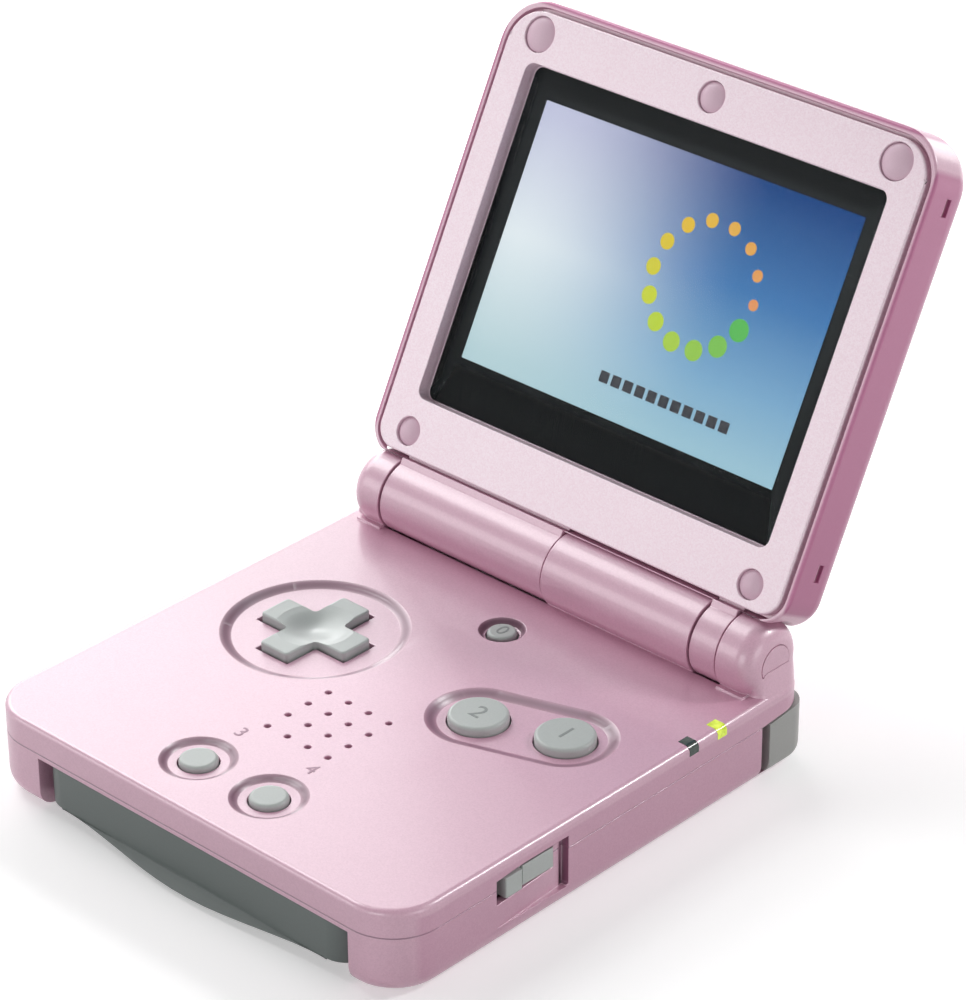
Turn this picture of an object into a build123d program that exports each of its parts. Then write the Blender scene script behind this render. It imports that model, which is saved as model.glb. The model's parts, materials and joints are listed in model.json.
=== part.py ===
from build123d import *
from math import cos, radians, sin
import os

os.makedirs("parts", exist_ok=True)

# Clamshell handheld game console, lid open at its first stop. Millimetres.
# +X is the player's right, +Y points to the hinge, +Z is up.
# The origin is the centre of the flat underside of the base.

# ---------------------------------------------------------------- driving dimensions
BASE_WIDTH = 82.0
BASE_LENGTH = 84.6
BASE_HEIGHT = 13.6
CLOSED_HEIGHT = 24.3
SPLIT_Z = 9.3            # parting line between the base's two shells
WALL = 1.4
TOP_SKIN = 1.4
FLOOR = 1.3
GAP = 0.2                # general moulding gap beside a moving piece

HINGE_Y = 35.9           # hinge axis, along X
HINGE_Z = 17.65
BARREL_RADIUS = 5.75
BASE_BARREL_RADIUS = 6.0
EAR_RADIUS = 5.95
LID_ANGLE = 117.8        # opening angle in the stored pose, 0 is closed
LID_FACE = 3.7           # lid face above the hinge axis, measured square to the lid
LID_TOP = 77.5           # far end of the lid, measured from the hinge axis
LID_BOTTOM = 4.9         # hinge end of the lid, measured from the hinge axis

# base outline and edges
FRONT_CORNER = 8.0
REAR_CORNER = 5.3
SHOULDER_CORNER = 3.3    # the shoulder buttons stand proud of the shells round the corner
TOP_EDGE = 0.9
BOTTOM_EDGE = 3.0

# controls on the base's top: centres and radii
PAD_CENTRE = (-19.8, 3.2)
PAD_DISH_RIM = 14.05
PAD_DISH_FLOOR = 12.3
PAD_ARM = 8.6
PAD_ARM_WIDTH = 5.7
BUTTON_B = (14.0, 2.0)
BUTTON_A = (26.6, 6.3)
ACTION_DISH_RIM = 7.7
ACTION_DISH_FLOOR = 5.9
ACTION_RADIUS = 4.4
SELECT_CENTRE = (-7.0, -32.1)
START_CENTRE = (7.0, -32.1)
SMALL_DISH_RIM = 5.6
SMALL_DISH_FLOOR = 4.3
SMALL_RADIUS = 2.8
LIGHT_CENTRE = (0.3, 21.5)
LIGHT_DISH_RIM = 3.5
LIGHT_DISH_FLOOR = 2.75
LIGHT_RADIUS = 2.25
DISH_DEPTH = 0.6
LIGHT_DISH_DEPTH = 0.9
DISH_Z = BASE_HEIGHT - DISH_DEPTH

# heights of the pieces under the top skin
SKIN_Z = BASE_HEIGHT - TOP_SKIN
KEY_FLANGE_TOP = 11.7
KEY_FLANGE_BOTTOM = 11.05
BOARD_TOP = 9.35
BOARD_THICKNESS = 0.8
MAT_TOP = 9.7

# speaker grille: a square of small holes
SPEAKER_CENTRE = (0.0, -13.8)
GRILLE_PITCH = 4.0
GRILLE_ROWS = 4
GRILLE_HOLE_RADIUS = 0.5
SPEAKER_RADIUS = 9.5

# card slot in the front wall of the lower shell
SLOT_LEFT = -29.4
SLOT_RIGHT = 32.1
SLOT_TOP = 8.5
CARD_BOTTOM = 2.0
CARD_TOP = 8.35
CARD_REAR = -8.2
CARD_LIP = 1.85          # how far the lip's middle bulges out of the slot
CARD_LIP_Z = 1.0         # height of the lip's front edge
CARD_CORNER = 4.0
CARD_HEAD = 9.6          # depth of the wider outer end
CARD_BODY_WIDTH = 57.5

# sliders in the side walls
SLIDER_WINDOW_Y = (-22.9, -11.0)
SLIDER_WINDOW_Z = (6.9, 10.7)
RECESS_Y = (-24.4, -9.2)
RECESS_Z = (3.2, 11.2)
RECESS_DEPTH = 1.0
SLIDER_TAIL_X = (37.0, 38.3)
SLIDER_TAIL_Z = (5.8, 11.8)
SLIDER_GRIP_Z = (7.1, 10.3)
POWER_TRAVEL = 1.6
VOLUME_TRAVEL = 3.6

# shoulder buttons
SHOULDER_FRONT = 33.7
SHOULDER_CUT_FRONT = 32.0
SHOULDER_INNER_X = 25.4
SHOULDER_WALL = 2.5
SHOULDER_PIVOT = (27.6, 38.6)
SHOULDER_Z = (0.95, 9.05)
SHOULDER_RISE = 1.0      # the top edge climbs this much from the front end to the rear

# hinge segments along X
EAR_INNER = 33.5
EAR_OUTER = 39.75
EAR_ROUND = 3.0
EAR_FRONT = 31.9
CAP_RADIUS = 2.9
LID_BARREL_X = (-33.2, -0.3)
BASE_BARREL_X = (0.0, 28.2)
KNUCKLE_X = (28.5, 33.2)
TROUGH_RADIUS = 6.05
BORE_RADIUS = 4.0
BUSH_RADIUS = 3.2
RUNNING_GAP = 0.05

# lid
LID_HALF = BASE_WIDTH / 2
LID_BACK = LID_FACE - (CLOSED_HEIGHT - HINGE_Z + LID_FACE)
LID_LIP = LID_FACE - 0.35
LID_BACK_ROUND = 4.0
LID_TOP_CORNER = 7.5
LID_BOTTOM_CORNER = 5.0
PLATE_HALF = 39.45
PLATE_V = (6.1, 75.9)
PLATE_THICKNESS = 1.5
GROOVE = 0.6
LENS_HALF = 34.3
LENS_V = (14.9, 68.1)
LENS_RECESS = 1.5
LENS_THICKNESS = 0.9
SCREEN_HALF = 30.4
SCREEN_V = (22.8, 63.5)
COVER_TOP = (33.7, 72.4)
COVER_MIDDLE = (0.0, 72.2)
COVER_BOTTOM = (33.7, 9.55)
COVER_TOP_RADIUS = 2.65
COVER_MIDDLE_RADIUS = 2.25
COVER_BOTTOM_RADIUS = 2.1

CASE_SCREWS = [(35.5, -36.3), (-35.5, -36.3), (36.0, 4.0), (-36.0, 4.0), (33.0, 26.5), (-33.0, 26.5)]
BOSS_RADIUS = 2.3

# battery door in the underside, and the bay above it
DOOR_X = 22.4
DOOR_Y = (0.5, 31.2)
DOOR_SCREW = (0.0, 3.6)
BAY_X = 21.4
BAY_Y = (7.0, 30.2)
BAY_WALL = 1.2

# light pipes and rear sockets
LED_LIT_Y = 23.1
LED_UNLIT_Y = 17.1
LED_WIDTH = 1.9
PORT_Z = (3.3, 8.0)
LINK_PORT_X = (-19.0, -8.6)
POWER_PORT_X = (8.6, 17.0)

FRONT_Y = -BASE_LENGTH / 2
REAR_Y = BASE_LENGTH / 2
SIDE_X = BASE_WIDTH / 2
BOARD_BOTTOM = BOARD_TOP - BOARD_THICKNESS


# ---------------------------------------------------------------- helpers
def block(x, y, z):
    """A box between the (low, high) limits given along each axis."""
    size = [high - low for low, high in (x, y, z)]
    middle = [(high + low) / 2 for low, high in (x, y, z)]
    return Pos(*middle) * Box(*size)


def disc(centre, radius, z):
    """An upright cylinder between two heights."""
    return Pos(centre[0], centre[1], (z[0] + z[1]) / 2) * Cylinder(radius, z[1] - z[0])


def rod(radius, x, y=HINGE_Y, z=HINGE_Z):
    """A cylinder along X, on the hinge axis unless told otherwise."""
    return Pos((x[0] + x[1]) / 2, y, z) * Rot(0, 90, 0) * Cylinder(radius, x[1] - x[0])


def plate(half_x, y, z, front_radius, rear_radius):
    """A slab that is symmetric in X, with its own corner radius at each end."""
    outline = Pos(0, (y[0] + y[1]) / 2) * Rectangle(2 * half_x, y[1] - y[0])
    outline = fillet(outline.vertices().group_by(Axis.Y)[0], front_radius)
    outline = fillet(outline.vertices().group_by(Axis.Y)[-1], rear_radius)
    return Pos(0, 0, z[0]) * extrude(outline, z[1] - z[0])


def dish(centre, rim, floor, depth):
    """A round dished recess in the base's top face."""
    middle = BASE_HEIGHT - depth / 2
    return Pos(centre[0], centre[1], middle) * Cone(floor, rim, depth)


def both_sides(shape):
    """The shape and its mirror image in the YZ plane."""
    return [shape, mirror(shape, about=Plane.YZ)]


lid_plane = Plane(
    origin=(0, HINGE_Y, HINGE_Z),
    x_dir=(1, 0, 0),
    z_dir=(0, -sin(radians(180 - LID_ANGLE)), cos(radians(180 - LID_ANGLE))),
)


def on_lid(shape):
    """Places a shape drawn in the lid's own axes: X, up the lid from the hinge axis, and outwards."""
    return lid_plane.location * shape


def lid_hinge_rod(radius, x):
    """A cylinder on the hinge axis, in the lid's own axes."""
    return rod(radius, x, 0, 0)


# ---------------------------------------------------------------- base body and its openings
def base_body(rear_corner=REAR_CORNER):
    body = plate(SIDE_X, (FRONT_Y, REAR_Y), (0, BASE_HEIGHT), FRONT_CORNER, rear_corner)
    body = fillet(body.edges().group_by(Axis.Z)[-1], TOP_EDGE)
    return fillet(body.edges().group_by(Axis.Z)[0], BOTTOM_EDGE)


def base_cavity(z):
    inner = (FRONT_Y + WALL, REAR_Y - WALL)
    return plate(SIDE_X - WALL, inner, z, FRONT_CORNER - WALL, REAR_CORNER - WALL)


def action_dish(rim, floor, depth):
    """The long dish round both action buttons, with sloping sides."""
    run = Vector(*BUTTON_A) - Vector(*BUTTON_B)
    middle = (Vector(*BUTTON_A) + Vector(*BUTTON_B)) * 0.5
    turn = Rot(0, 0, run.get_signed_angle(Vector(1, 0, 0), Vector(0, 0, -1)))
    place = Pos(middle.X, middle.Y, 0) * turn
    low = Pos(0, 0, BASE_HEIGHT - depth) * place * SlotCenterToCenter(run.length, 2 * floor)
    high = Pos(0, 0, BASE_HEIGHT) * place * SlotCenterToCenter(run.length, 2 * rim)
    return loft([low, high])


def pad_cross(arm, width, z):
    arms = Rectangle(2 * arm, width) + Rectangle(width, 2 * arm)
    return Pos(PAD_CENTRE[0], PAD_CENTRE[1], z[0]) * extrude(arms, z[1] - z[0])


def wedge_recess():
    """The recess beside a slider: flush at its front end, deepest at its rear step."""
    corners = [
        (SIDE_X + 0.1, RECESS_Y[0]),
        (SIDE_X + 0.1, RECESS_Y[1]),
        (SIDE_X - RECESS_DEPTH, RECESS_Y[1]),
        (SIDE_X, RECESS_Y[0]),
    ]
    outline = make_face(Polyline(*corners, close=True))
    return Pos(0, 0, RECESS_Z[0]) * extrude(outline, RECESS_Z[1] - RECESS_Z[0])


def recess_step():
    """The dark upright groove at the rear end of the wedge recess."""
    z = (RECESS_Z[0] + 0.2, RECESS_Z[1])
    return block((SIDE_X - 1.3, SIDE_X + 0.1), (RECESS_Y[1] - 0.5, RECESS_Y[1] + 0.4), z)


def recess_backing(z):
    """Thickens the side wall behind the deepest part of the wedge recess."""
    return block((SIDE_X - 2.4, SIDE_X - 1.2), (SLIDER_WINDOW_Y[1], RECESS_Y[1] + 1.4), z)


def slider_window():
    return block((SIDE_X - 4, SIDE_X + 0.1), SLIDER_WINDOW_Y, SLIDER_WINDOW_Z)


def shoulder_space(front, inner, lift=0.0):
    """The corner region of a shoulder button, with the climbing top edge."""
    top = SHOULDER_Z[1] + lift
    corners = [
        (front, SHOULDER_Z[0] - lift),
        (REAR_Y + 1, SHOULDER_Z[0] - lift),
        (REAR_Y + 1, top + SHOULDER_RISE),
        (front, top),
    ]
    side = make_face(Plane.YZ * Polyline(*corners, close=True))
    return Pos(inner, 0, 0) * extrude(side, SIDE_X + 1 - inner, dir=(1, 0, 0))


def led_space(y):
    return block((38.8, SIDE_X + 0.1), (y - LED_WIDTH / 2, y + LED_WIDTH / 2), (12.0, BASE_HEIGHT + 0.1))


# ---------------------------------------------------------------- upper base shell
def ear_section(outer_x, rear_y, corner, z):
    """A level section of an ear's root, rounded at its outer corners."""
    size = (outer_x - EAR_INNER, rear_y - EAR_FRONT)
    section = Pos((outer_x + EAR_INNER) / 2, (rear_y + EAR_FRONT) / 2) * Rectangle(*size)
    section = fillet(section.vertices().group_by(Axis.X)[-1].sort_by(Axis.Y)[-1], corner)
    section = fillet(section.vertices().group_by(Axis.Y)[0].sort_by(Axis.X)[-1], 2.0)
    return Pos(0, 0, z) * section


def hinge_ear():
    """One ear: a rounded barrel end over a root that runs down into the base's corner."""
    barrel = rod(EAR_RADIUS, (EAR_INNER, EAR_OUTER))
    barrel = fillet(barrel.edges().group_by(Axis.X)[-1], EAR_ROUND)
    low = ear_section(SIDE_X, REAR_Y, REAR_CORNER, SKIN_Z)
    high = ear_section(EAR_OUTER - 0.05, HINGE_Y + EAR_RADIUS - 0.05, EAR_ROUND + 0.1, HINGE_Z)
    root = loft([low, high], ruled=True)
    ledge = block((EAR_INNER, 38.4), (30.3, 33.0), (BASE_HEIGHT - 1, BASE_HEIGHT + 0.35))
    return barrel + root + ledge


def upper_base_shell():
    shell = base_body() & block((-50, 50), (-50, 50), (SPLIT_Z, 20))
    shell -= base_cavity((SPLIT_Z, SKIN_Z))
    shell += disc(PAD_CENTRE, PAD_DISH_RIM + 0.6, (SKIN_Z - 0.3, SKIN_Z))
    for x, y in CASE_SCREWS:
        shell += disc((x, y), BOSS_RADIUS, (SPLIT_Z, SKIN_Z))
    for backing in both_sides(recess_backing((SPLIT_Z, SKIN_Z + 0.1))):
        shell += backing
    for ear in both_sides(hinge_ear()):
        shell += ear
    base_barrel = rod(BASE_BARREL_RADIUS, BASE_BARREL_X)
    floor_under_hinge = block((-EAR_INNER, EAR_INNER), (30.6, 41.2), (10.5, SKIN_Z + 0.2))
    barrel_root = block(BASE_BARREL_X, (32.0, REAR_Y - 0.7), (SKIN_Z, HINGE_Z - 2.5))
    shell += floor_under_hinge + base_barrel + barrel_root
    shell -= rod(TROUGH_RADIUS, (-EAR_INNER, BASE_BARREL_X[0]))
    shell -= rod(TROUGH_RADIUS, (BASE_BARREL_X[1], EAR_INNER))
    shell += rod(BUSH_RADIUS, (-3.0, BASE_BARREL_X[0]))
    shell -= rod(BORE_RADIUS, (3.0, BASE_BARREL_X[1] + 0.01))
    shell -= rod(2.2, (-3.1, 3.1))
    # ear bores: a seat for the outer cap, then the bush at the left and the pin at the right
    for side in (-1, 1):
        ends = sorted((side * (EAR_OUTER - 1.2), side * (EAR_OUTER + 0.1)))
        shell -= rod(CAP_RADIUS + 0.05, ends)
    shell -= rod(BUSH_RADIUS, (-EAR_OUTER + 2.0, -EAR_INNER + 0.1))
    shell -= rod(1.5, (EAR_INNER - 0.1, EAR_OUTER - 1.1))
    # recesses and key holes in the top face
    shell -= dish(PAD_CENTRE, PAD_DISH_RIM, PAD_DISH_FLOOR, DISH_DEPTH)
    shell -= pad_cross(PAD_ARM + 0.4, PAD_ARM_WIDTH + 0.8, (SKIN_Z - 1, BASE_HEIGHT))
    shell -= action_dish(ACTION_DISH_RIM, ACTION_DISH_FLOOR, DISH_DEPTH)
    for centre in (BUTTON_A, BUTTON_B):
        shell -= disc(centre, ACTION_RADIUS + GAP, (SKIN_Z - 1, BASE_HEIGHT))
    for centre in (SELECT_CENTRE, START_CENTRE):
        shell -= dish(centre, SMALL_DISH_RIM, SMALL_DISH_FLOOR, DISH_DEPTH)
        shell -= disc(centre, SMALL_RADIUS + GAP, (SKIN_Z - 1, BASE_HEIGHT))
    shell -= dish(LIGHT_CENTRE, LIGHT_DISH_RIM, LIGHT_DISH_FLOOR, LIGHT_DISH_DEPTH)
    shell -= disc(LIGHT_CENTRE, LIGHT_RADIUS + GAP, (SKIN_Z - 1, BASE_HEIGHT))
    for column in range(GRILLE_ROWS):
        for row in range(GRILLE_ROWS):
            x = SPEAKER_CENTRE[0] + (column - (GRILLE_ROWS - 1) / 2) * GRILLE_PITCH
            y = SPEAKER_CENTRE[1] + (row - (GRILLE_ROWS - 1) / 2) * GRILLE_PITCH
            shell -= disc((x, y), GRILLE_HOLE_RADIUS, (SKIN_Z - 0.5, BASE_HEIGHT + 0.1))
    # side windows, light pipe seats, shoulder cut-outs, screw holes
    for cut in both_sides(wedge_recess() + recess_step() + slider_window()):
        shell -= cut
    for y in (LED_LIT_Y, LED_UNLIT_Y):
        shell -= led_space(y)
    for cut in both_sides(shoulder_space(SHOULDER_CUT_FRONT, SHOULDER_INNER_X - 0.5, 0.25)):
        shell -= cut
    for x, y in CASE_SCREWS:
        shell -= disc((x, y), 0.85, (SPLIT_Z - 0.1, 11.9))
    for side in (-1, 1):
        shell -= disc((side * SHOULDER_PIVOT[0], SHOULDER_PIVOT[1]), 0.8, (10.4, 11.2))
    return shell


# ---------------------------------------------------------------- lower base shell
def battery_bay():
    """Walls round the battery, with a ledge over the door's edge and a post for its screw."""
    outer_x = BAY_X + BAY_WALL + 0.6
    bay = block((-outer_x, outer_x), (DOOR_Y[0] - 0.8, DOOR_Y[1] + 0.8), (0.8, BOARD_BOTTOM))
    bay -= block((-BAY_X, BAY_X), BAY_Y, (0, BASE_HEIGHT))
    front_pocket = (DOOR_Y[0] + 0.6, BAY_Y[0] - BAY_WALL)
    for pocket in both_sides(block((2.8, BAY_X), front_pocket, (FLOOR + 1.2, BASE_HEIGHT))):
        bay -= pocket
    return bay


def lower_base_shell():
    shell = base_body() & block((-50, 50), (-50, 50), (0, SPLIT_Z))
    shell -= base_cavity((FLOOR, SPLIT_Z + 0.1)) & block((-50, 50), (-50, 50), (FLOOR, 20))
    # guide walls of the card bay, and the battery bay, which carries the board
    for x in ((SLOT_LEFT - 1.0, SLOT_LEFT), (SLOT_RIGHT, SLOT_RIGHT + 1.0)):
        shell += block(x, (FRONT_Y + 1, CARD_REAR), (0.8, SLOT_TOP))
    shell += battery_bay()
    for x, y in CASE_SCREWS:
        shell += disc((x, y), BOSS_RADIUS, (0.8, SPLIT_Z))
    for backing in both_sides(recess_backing((0.8, SPLIT_Z))):
        shell += backing
    # inner walls behind the shoulder buttons
    wall_z = (0.6, SPLIT_Z)
    partition = block((36.6, 37.4), (31.0, 36.4), wall_z)
    partition += block((24.0, 37.4), (35.6, 36.4), wall_z)
    partition += block((24.0, 24.8), (35.6, REAR_Y - 1), wall_z)
    for wall in both_sides(partition):
        shell += wall & base_body()
    # openings: card slot with its floor notch, battery door, sockets, side windows, shoulder corners
    shell -= block((SLOT_LEFT, SLOT_RIGHT), (FRONT_Y - 1, CARD_REAR), (CARD_BOTTOM - 0.1, SLOT_TOP))
    notch = Pos((SLOT_LEFT + SLOT_RIGHT) / 2, FRONT_Y, 0) * Box(SLOT_RIGHT - SLOT_LEFT, 7.0, 8.0)
    shell -= notch
    for x in (-24.0, -8.0, 8.0, 24.0):
        shell += block((x - 0.5, x + 0.5), (-38.0, CARD_REAR), (FLOOR - 0.1, CARD_BOTTOM - 0.05))
    shell -= block((-DOOR_X, DOOR_X), DOOR_Y, (-1, FLOOR))
    shell -= disc(DOOR_SCREW, 0.85, (0, 6.0))
    shell -= block(LINK_PORT_X, (REAR_Y - 3, REAR_Y + 1), PORT_Z)
    shell -= block(POWER_PORT_X, (REAR_Y - 3, REAR_Y + 1), PORT_Z)
    for cut in both_sides(wedge_recess() + recess_step() + slider_window()):
        shell -= cut
    for cut in both_sides(shoulder_space(SHOULDER_CUT_FRONT, SHOULDER_INNER_X - 0.5, 0.25)):
        shell -= cut - block((-37.4, 37.4), (30, 36.4), (0, 20))
    for x, y in CASE_SCREWS:
        shell -= disc((x, y), 1.05, (-1, SPLIT_Z + 1)) + disc((x, y), 1.9, (-1, 2.2))
    for side in (-1, 1):
        pivot = (side * SHOULDER_PIVOT[0], SHOULDER_PIVOT[1])
        shell += disc(pivot, 1.6, (0.3, 0.85))
        shell -= disc(pivot, 0.75, (0.4, 1.3))
    return shell


# ---------------------------------------------------------------- keys and sliders on the base
def dpad():
    """Cross with raised arm ends and a shallow round hollow in its middle, on a round flange."""
    top = DISH_Z + 1.2
    cross = pad_cross(PAD_ARM, PAD_ARM_WIDTH, (KEY_FLANGE_TOP - 0.5, top))
    cross = fillet(cross.edges().filter_by(Axis.Z), 0.7)
    cross = fillet(cross.edges().group_by(Axis.Z)[-1], 0.35)
    hollow_radius = 40.0
    hollow_depth = 0.45
    cross -= Pos(PAD_CENTRE[0], PAD_CENTRE[1], top - hollow_depth + hollow_radius) * Sphere(hollow_radius)
    flange = disc(PAD_CENTRE, 10.2, (10.75, 11.25))
    post = disc(PAD_CENTRE, 1.6, (10.1, 10.8))
    return cross + flange + post


def round_key(centre, radius, top, flange_radius):
    """A round button with a rounded top edge, on a flange that stops it under the skin."""
    body = disc(centre, radius, (KEY_FLANGE_BOTTOM, top))
    body = fillet(body.edges().group_by(Axis.Z)[-1], 0.55)
    return body + disc(centre, flange_radius, (KEY_FLANGE_BOTTOM, KEY_FLANGE_TOP))


def power_slider():
    """Sliding knob: an outer grip in two steps, and a tail behind the wall, taller than the window."""
    front = SLIDER_WINDOW_Y[0] + GAP + POWER_TRAVEL
    rear = SLIDER_WINDOW_Y[1] - GAP
    tail = block(SLIDER_TAIL_X, (front - 2.5, rear + 2.5), SLIDER_TAIL_Z)
    grip = block((SLIDER_TAIL_X[1], 40.35), (front, rear), SLIDER_GRIP_Z)
    tab = block((40.3, 40.9), (front, front + 3.2), SLIDER_GRIP_Z)
    groove = block((39.9, 41.0), (front + 3.2, front + 3.8), SLIDER_GRIP_Z)
    return fillet((grip + tab - groove).edges().group_by(Axis.X)[-1], 0.2) + tail


def volume_slider():
    """Short sliding knob in the left wall; its tail covers the window at both ends of its travel."""
    middle = sum(SLIDER_WINDOW_Y) / 2
    window_half = (SLIDER_WINDOW_Y[1] - SLIDER_WINDOW_Y[0]) / 2
    half = window_half - GAP - VOLUME_TRAVEL
    tail_half = window_half + VOLUME_TRAVEL
    tail = block(SLIDER_TAIL_X, (middle - tail_half, middle + tail_half), SLIDER_TAIL_Z)
    grip = block((SLIDER_TAIL_X[1], 40.7), (middle - half, middle + half), SLIDER_GRIP_Z)
    for offset in (-1.2, 0.0, 1.2):
        y = middle + offset
        grip -= block((40.3, 41), (y - 0.2, y + 0.2), SLIDER_GRIP_Z)
    return mirror(tail + grip, about=Plane.YZ)


def shoulder_button():
    """Right shoulder button: wraps the rear corner and turns on an upright pin at its inner end."""
    outer = base_body(SHOULDER_CORNER) & shoulder_space(SHOULDER_FRONT, SHOULDER_INNER_X)
    inside = block((20, SIDE_X - SHOULDER_WALL), (30, REAR_Y - SHOULDER_WALL), (-1, 20))
    button = outer - inside
    lug = disc(SHOULDER_PIVOT, 1.7, (1.1, 6.5))
    button += lug - block((20, 40), (REAR_Y, 50), (0, 20))
    return button - disc(SHOULDER_PIVOT, 0.8, (0, 20))


# ---------------------------------------------------------------- lid
def lid_slab(inset, v, n):
    """A slab of the lid's outline, drawn in by the inset, in the lid's own axes."""
    bottom_corner = LID_BOTTOM_CORNER - inset
    return plate(LID_HALF - inset, v, n, bottom_corner, LID_TOP_CORNER - inset)


def lid_outer_shell():
    shell = lid_slab(0, (LID_BOTTOM, LID_TOP), (LID_BACK, LID_LIP))
    shell = fillet(shell.edges().group_by(Axis.Z)[0], LID_BACK_ROUND)
    shell = fillet(shell.edges().group_by(Axis.Z)[-1], 0.4)
    cavity = lid_slab(WALL + 0.6, (8.3, LID_TOP - WALL - 0.6), (LID_BACK + WALL, LID_FACE + 1))
    cavity = fillet(cavity.edges().group_by(Axis.Z)[0], LID_BACK_ROUND - WALL)
    rebate_v = (PLATE_V[0] - GROOVE, PLATE_V[1] + GROOVE)
    rebate_inset = LID_HALF - PLATE_HALF - GROOVE
    rebate = lid_slab(rebate_inset, rebate_v, (LID_FACE - PLATE_THICKNESS, LID_FACE + 1))
    shell -= cavity + rebate
    for x, v in screw_places():
        post = disc((x, v), 2.2, (LID_BACK + WALL - 0.5, LID_FACE - PLATE_THICKNESS))
        shell += post - disc((x, v), 0.85, (LID_BACK + WALL, LID_FACE))
    # clearance round the base's barrel and ears, then the lid's own barrel, knuckle and their webs
    shell -= lid_hinge_rod(BASE_BARREL_RADIUS + 0.35, (BASE_BARREL_X[0] - 0.3, BASE_BARREL_X[1] + 0.3))
    for side in both_sides(lid_hinge_rod(EAR_RADIUS + 0.35, (EAR_INNER - 0.3, 45))):
        shell -= side
    for x in (LID_BARREL_X, KNUCKLE_X):
        web = block(x, (2.5, 8.4), (-4.6, LID_FACE))
        web -= block(x, (PLATE_V[0] - GROOVE, 20), (LID_FACE - PLATE_THICKNESS, LID_FACE + 1))
        shell += web + lid_hinge_rod(BARREL_RADIUS, x)
    shell -= lid_hinge_rod(BUSH_RADIUS + RUNNING_GAP, (LID_BARREL_X[0] - 0.1, LID_BARREL_X[1] + 0.1))
    shell -= lid_hinge_rod(2.65, (KNUCKLE_X[0] - 0.1, 31.4))
    shell -= lid_hinge_rod(1.5 + RUNNING_GAP, (31.3, KNUCKLE_X[1] + 0.1))
    shell -= block((-23.5, -8.5), (2.0, 9.0), (-0.5, 0.5))
    # small blind slots in the side walls
    for v in (14.1, 68.4):
        slot = block((LID_HALF - 0.8, LID_HALF + 0.1), (v - 1.3, v + 1.3), (-1.7, -0.5))
        for cut in both_sides(slot):
            shell -= cut
    return on_lid(shell)


def screw_places():
    places = [COVER_TOP, COVER_MIDDLE, COVER_BOTTOM]
    return places + [(-x, v) for x, v in (COVER_TOP, COVER_BOTTOM)]


def lid_inner_shell():
    inset = LID_HALF - PLATE_HALF
    shell = lid_slab(inset, PLATE_V, (LID_FACE - PLATE_THICKNESS, LID_FACE))
    shell = fillet(shell.edges().group_by(Axis.Z)[-1], 0.3)
    lens_middle = sum(LENS_V) / 2
    lens_length = LENS_V[1] - LENS_V[0]
    frame = Pos(0, lens_middle, 0) * RectangleRounded(2 * LENS_HALF + 3.2, lens_length + 3.2, 2.4)
    shell += Pos(0, 0, 0.0) * extrude(frame, LID_FACE - PLATE_THICKNESS)
    opening = Pos(0, lens_middle, 0) * RectangleRounded(2 * LENS_HALF, lens_length, 1.6)
    seat = LID_FACE - LENS_RECESS - LENS_THICKNESS - 0.1
    shell -= Pos(0, 0, seat) * extrude(opening, 5)
    shell -= screen_stack(1.2, (-1, 4))
    for (x, v), radius in zip(screw_places(), cover_radii()):
        shell -= disc((x, v), radius + 0.15, (LID_FACE - 0.9, LID_FACE + 1)) + disc((x, v), 1.0, (0, 5))
    return on_lid(shell)


def cover_radii():
    radii = [COVER_TOP_RADIUS, COVER_MIDDLE_RADIUS, COVER_BOTTOM_RADIUS]
    return radii + [COVER_TOP_RADIUS, COVER_BOTTOM_RADIUS]


def screw_cover(place, radius, dome):
    """A round cover pressed over a lid screw, with a low domed face."""
    skirt = disc(place, radius, (LID_FACE - 0.85, LID_FACE - 0.05))
    sphere_radius = (radius ** 2 + dome ** 2) / (2 * dome)
    sphere = Pos(place[0], place[1], LID_FACE - 0.05 + dome - sphere_radius) * Sphere(sphere_radius)
    cap = sphere & disc(place, radius, (LID_FACE - 0.06, LID_FACE + 1))
    return on_lid(skirt + cap)


def screen_lens():
    outline = RectangleRounded(2 * LENS_HALF - 0.2, LENS_V[1] - LENS_V[0] - 0.2, 1.5)
    front = LID_FACE - LENS_RECESS
    return on_lid(Pos(0, sum(LENS_V) / 2, front - LENS_THICKNESS) * extrude(outline, LENS_THICKNESS))


def lens_border():
    """The black frame behind the lens that masks the display's edges."""
    outline = RectangleRounded(2 * LENS_HALF - 0.4, LENS_V[1] - LENS_V[0] - 0.4, 1.4)
    border = Pos(0, sum(LENS_V) / 2, 0) * outline
    border -= Pos(0, sum(SCREEN_V) / 2, 0) * Rectangle(2 * SCREEN_HALF, SCREEN_V[1] - SCREEN_V[0])
    back = LID_FACE - LENS_RECESS - LENS_THICKNESS - 0.1
    return on_lid(Pos(0, 0, back) * extrude(border, 0.1))


def screen_stack(margin, n):
    """A rectangular layer of the display, wider than the picture by the margin."""
    v = (SCREEN_V[0] - margin, SCREEN_V[1] + margin)
    return block((-SCREEN_HALF - margin, SCREEN_HALF + margin), v, n)


def lcd_frame():
    tray = screen_stack(3.2, (-3.6, -0.05)) - screen_stack(2.1, (-2.9, 1))
    return on_lid(tray - block((-23.5, -8.5), (10, 21), (-2.9, -2.2)))


def display_ribbon():
    """Flat ribbon down the lid, then rolled round the hinge axis inside the barrel."""
    across = (-22.5, -9.5)
    strip = block(across, (2.7, 10.5), (-0.15, 0.15)) + block(across, (10.2, 10.5), (-2.75, 0.15))
    back_run = block(across, (10.2, 26.0), (-2.75, -2.45))
    roll = lid_hinge_rod(2.9, (-24.0, -8.0)) - lid_hinge_rod(2.6, (-25.0, -7.0))
    return on_lid(strip + back_run + roll)


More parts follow.
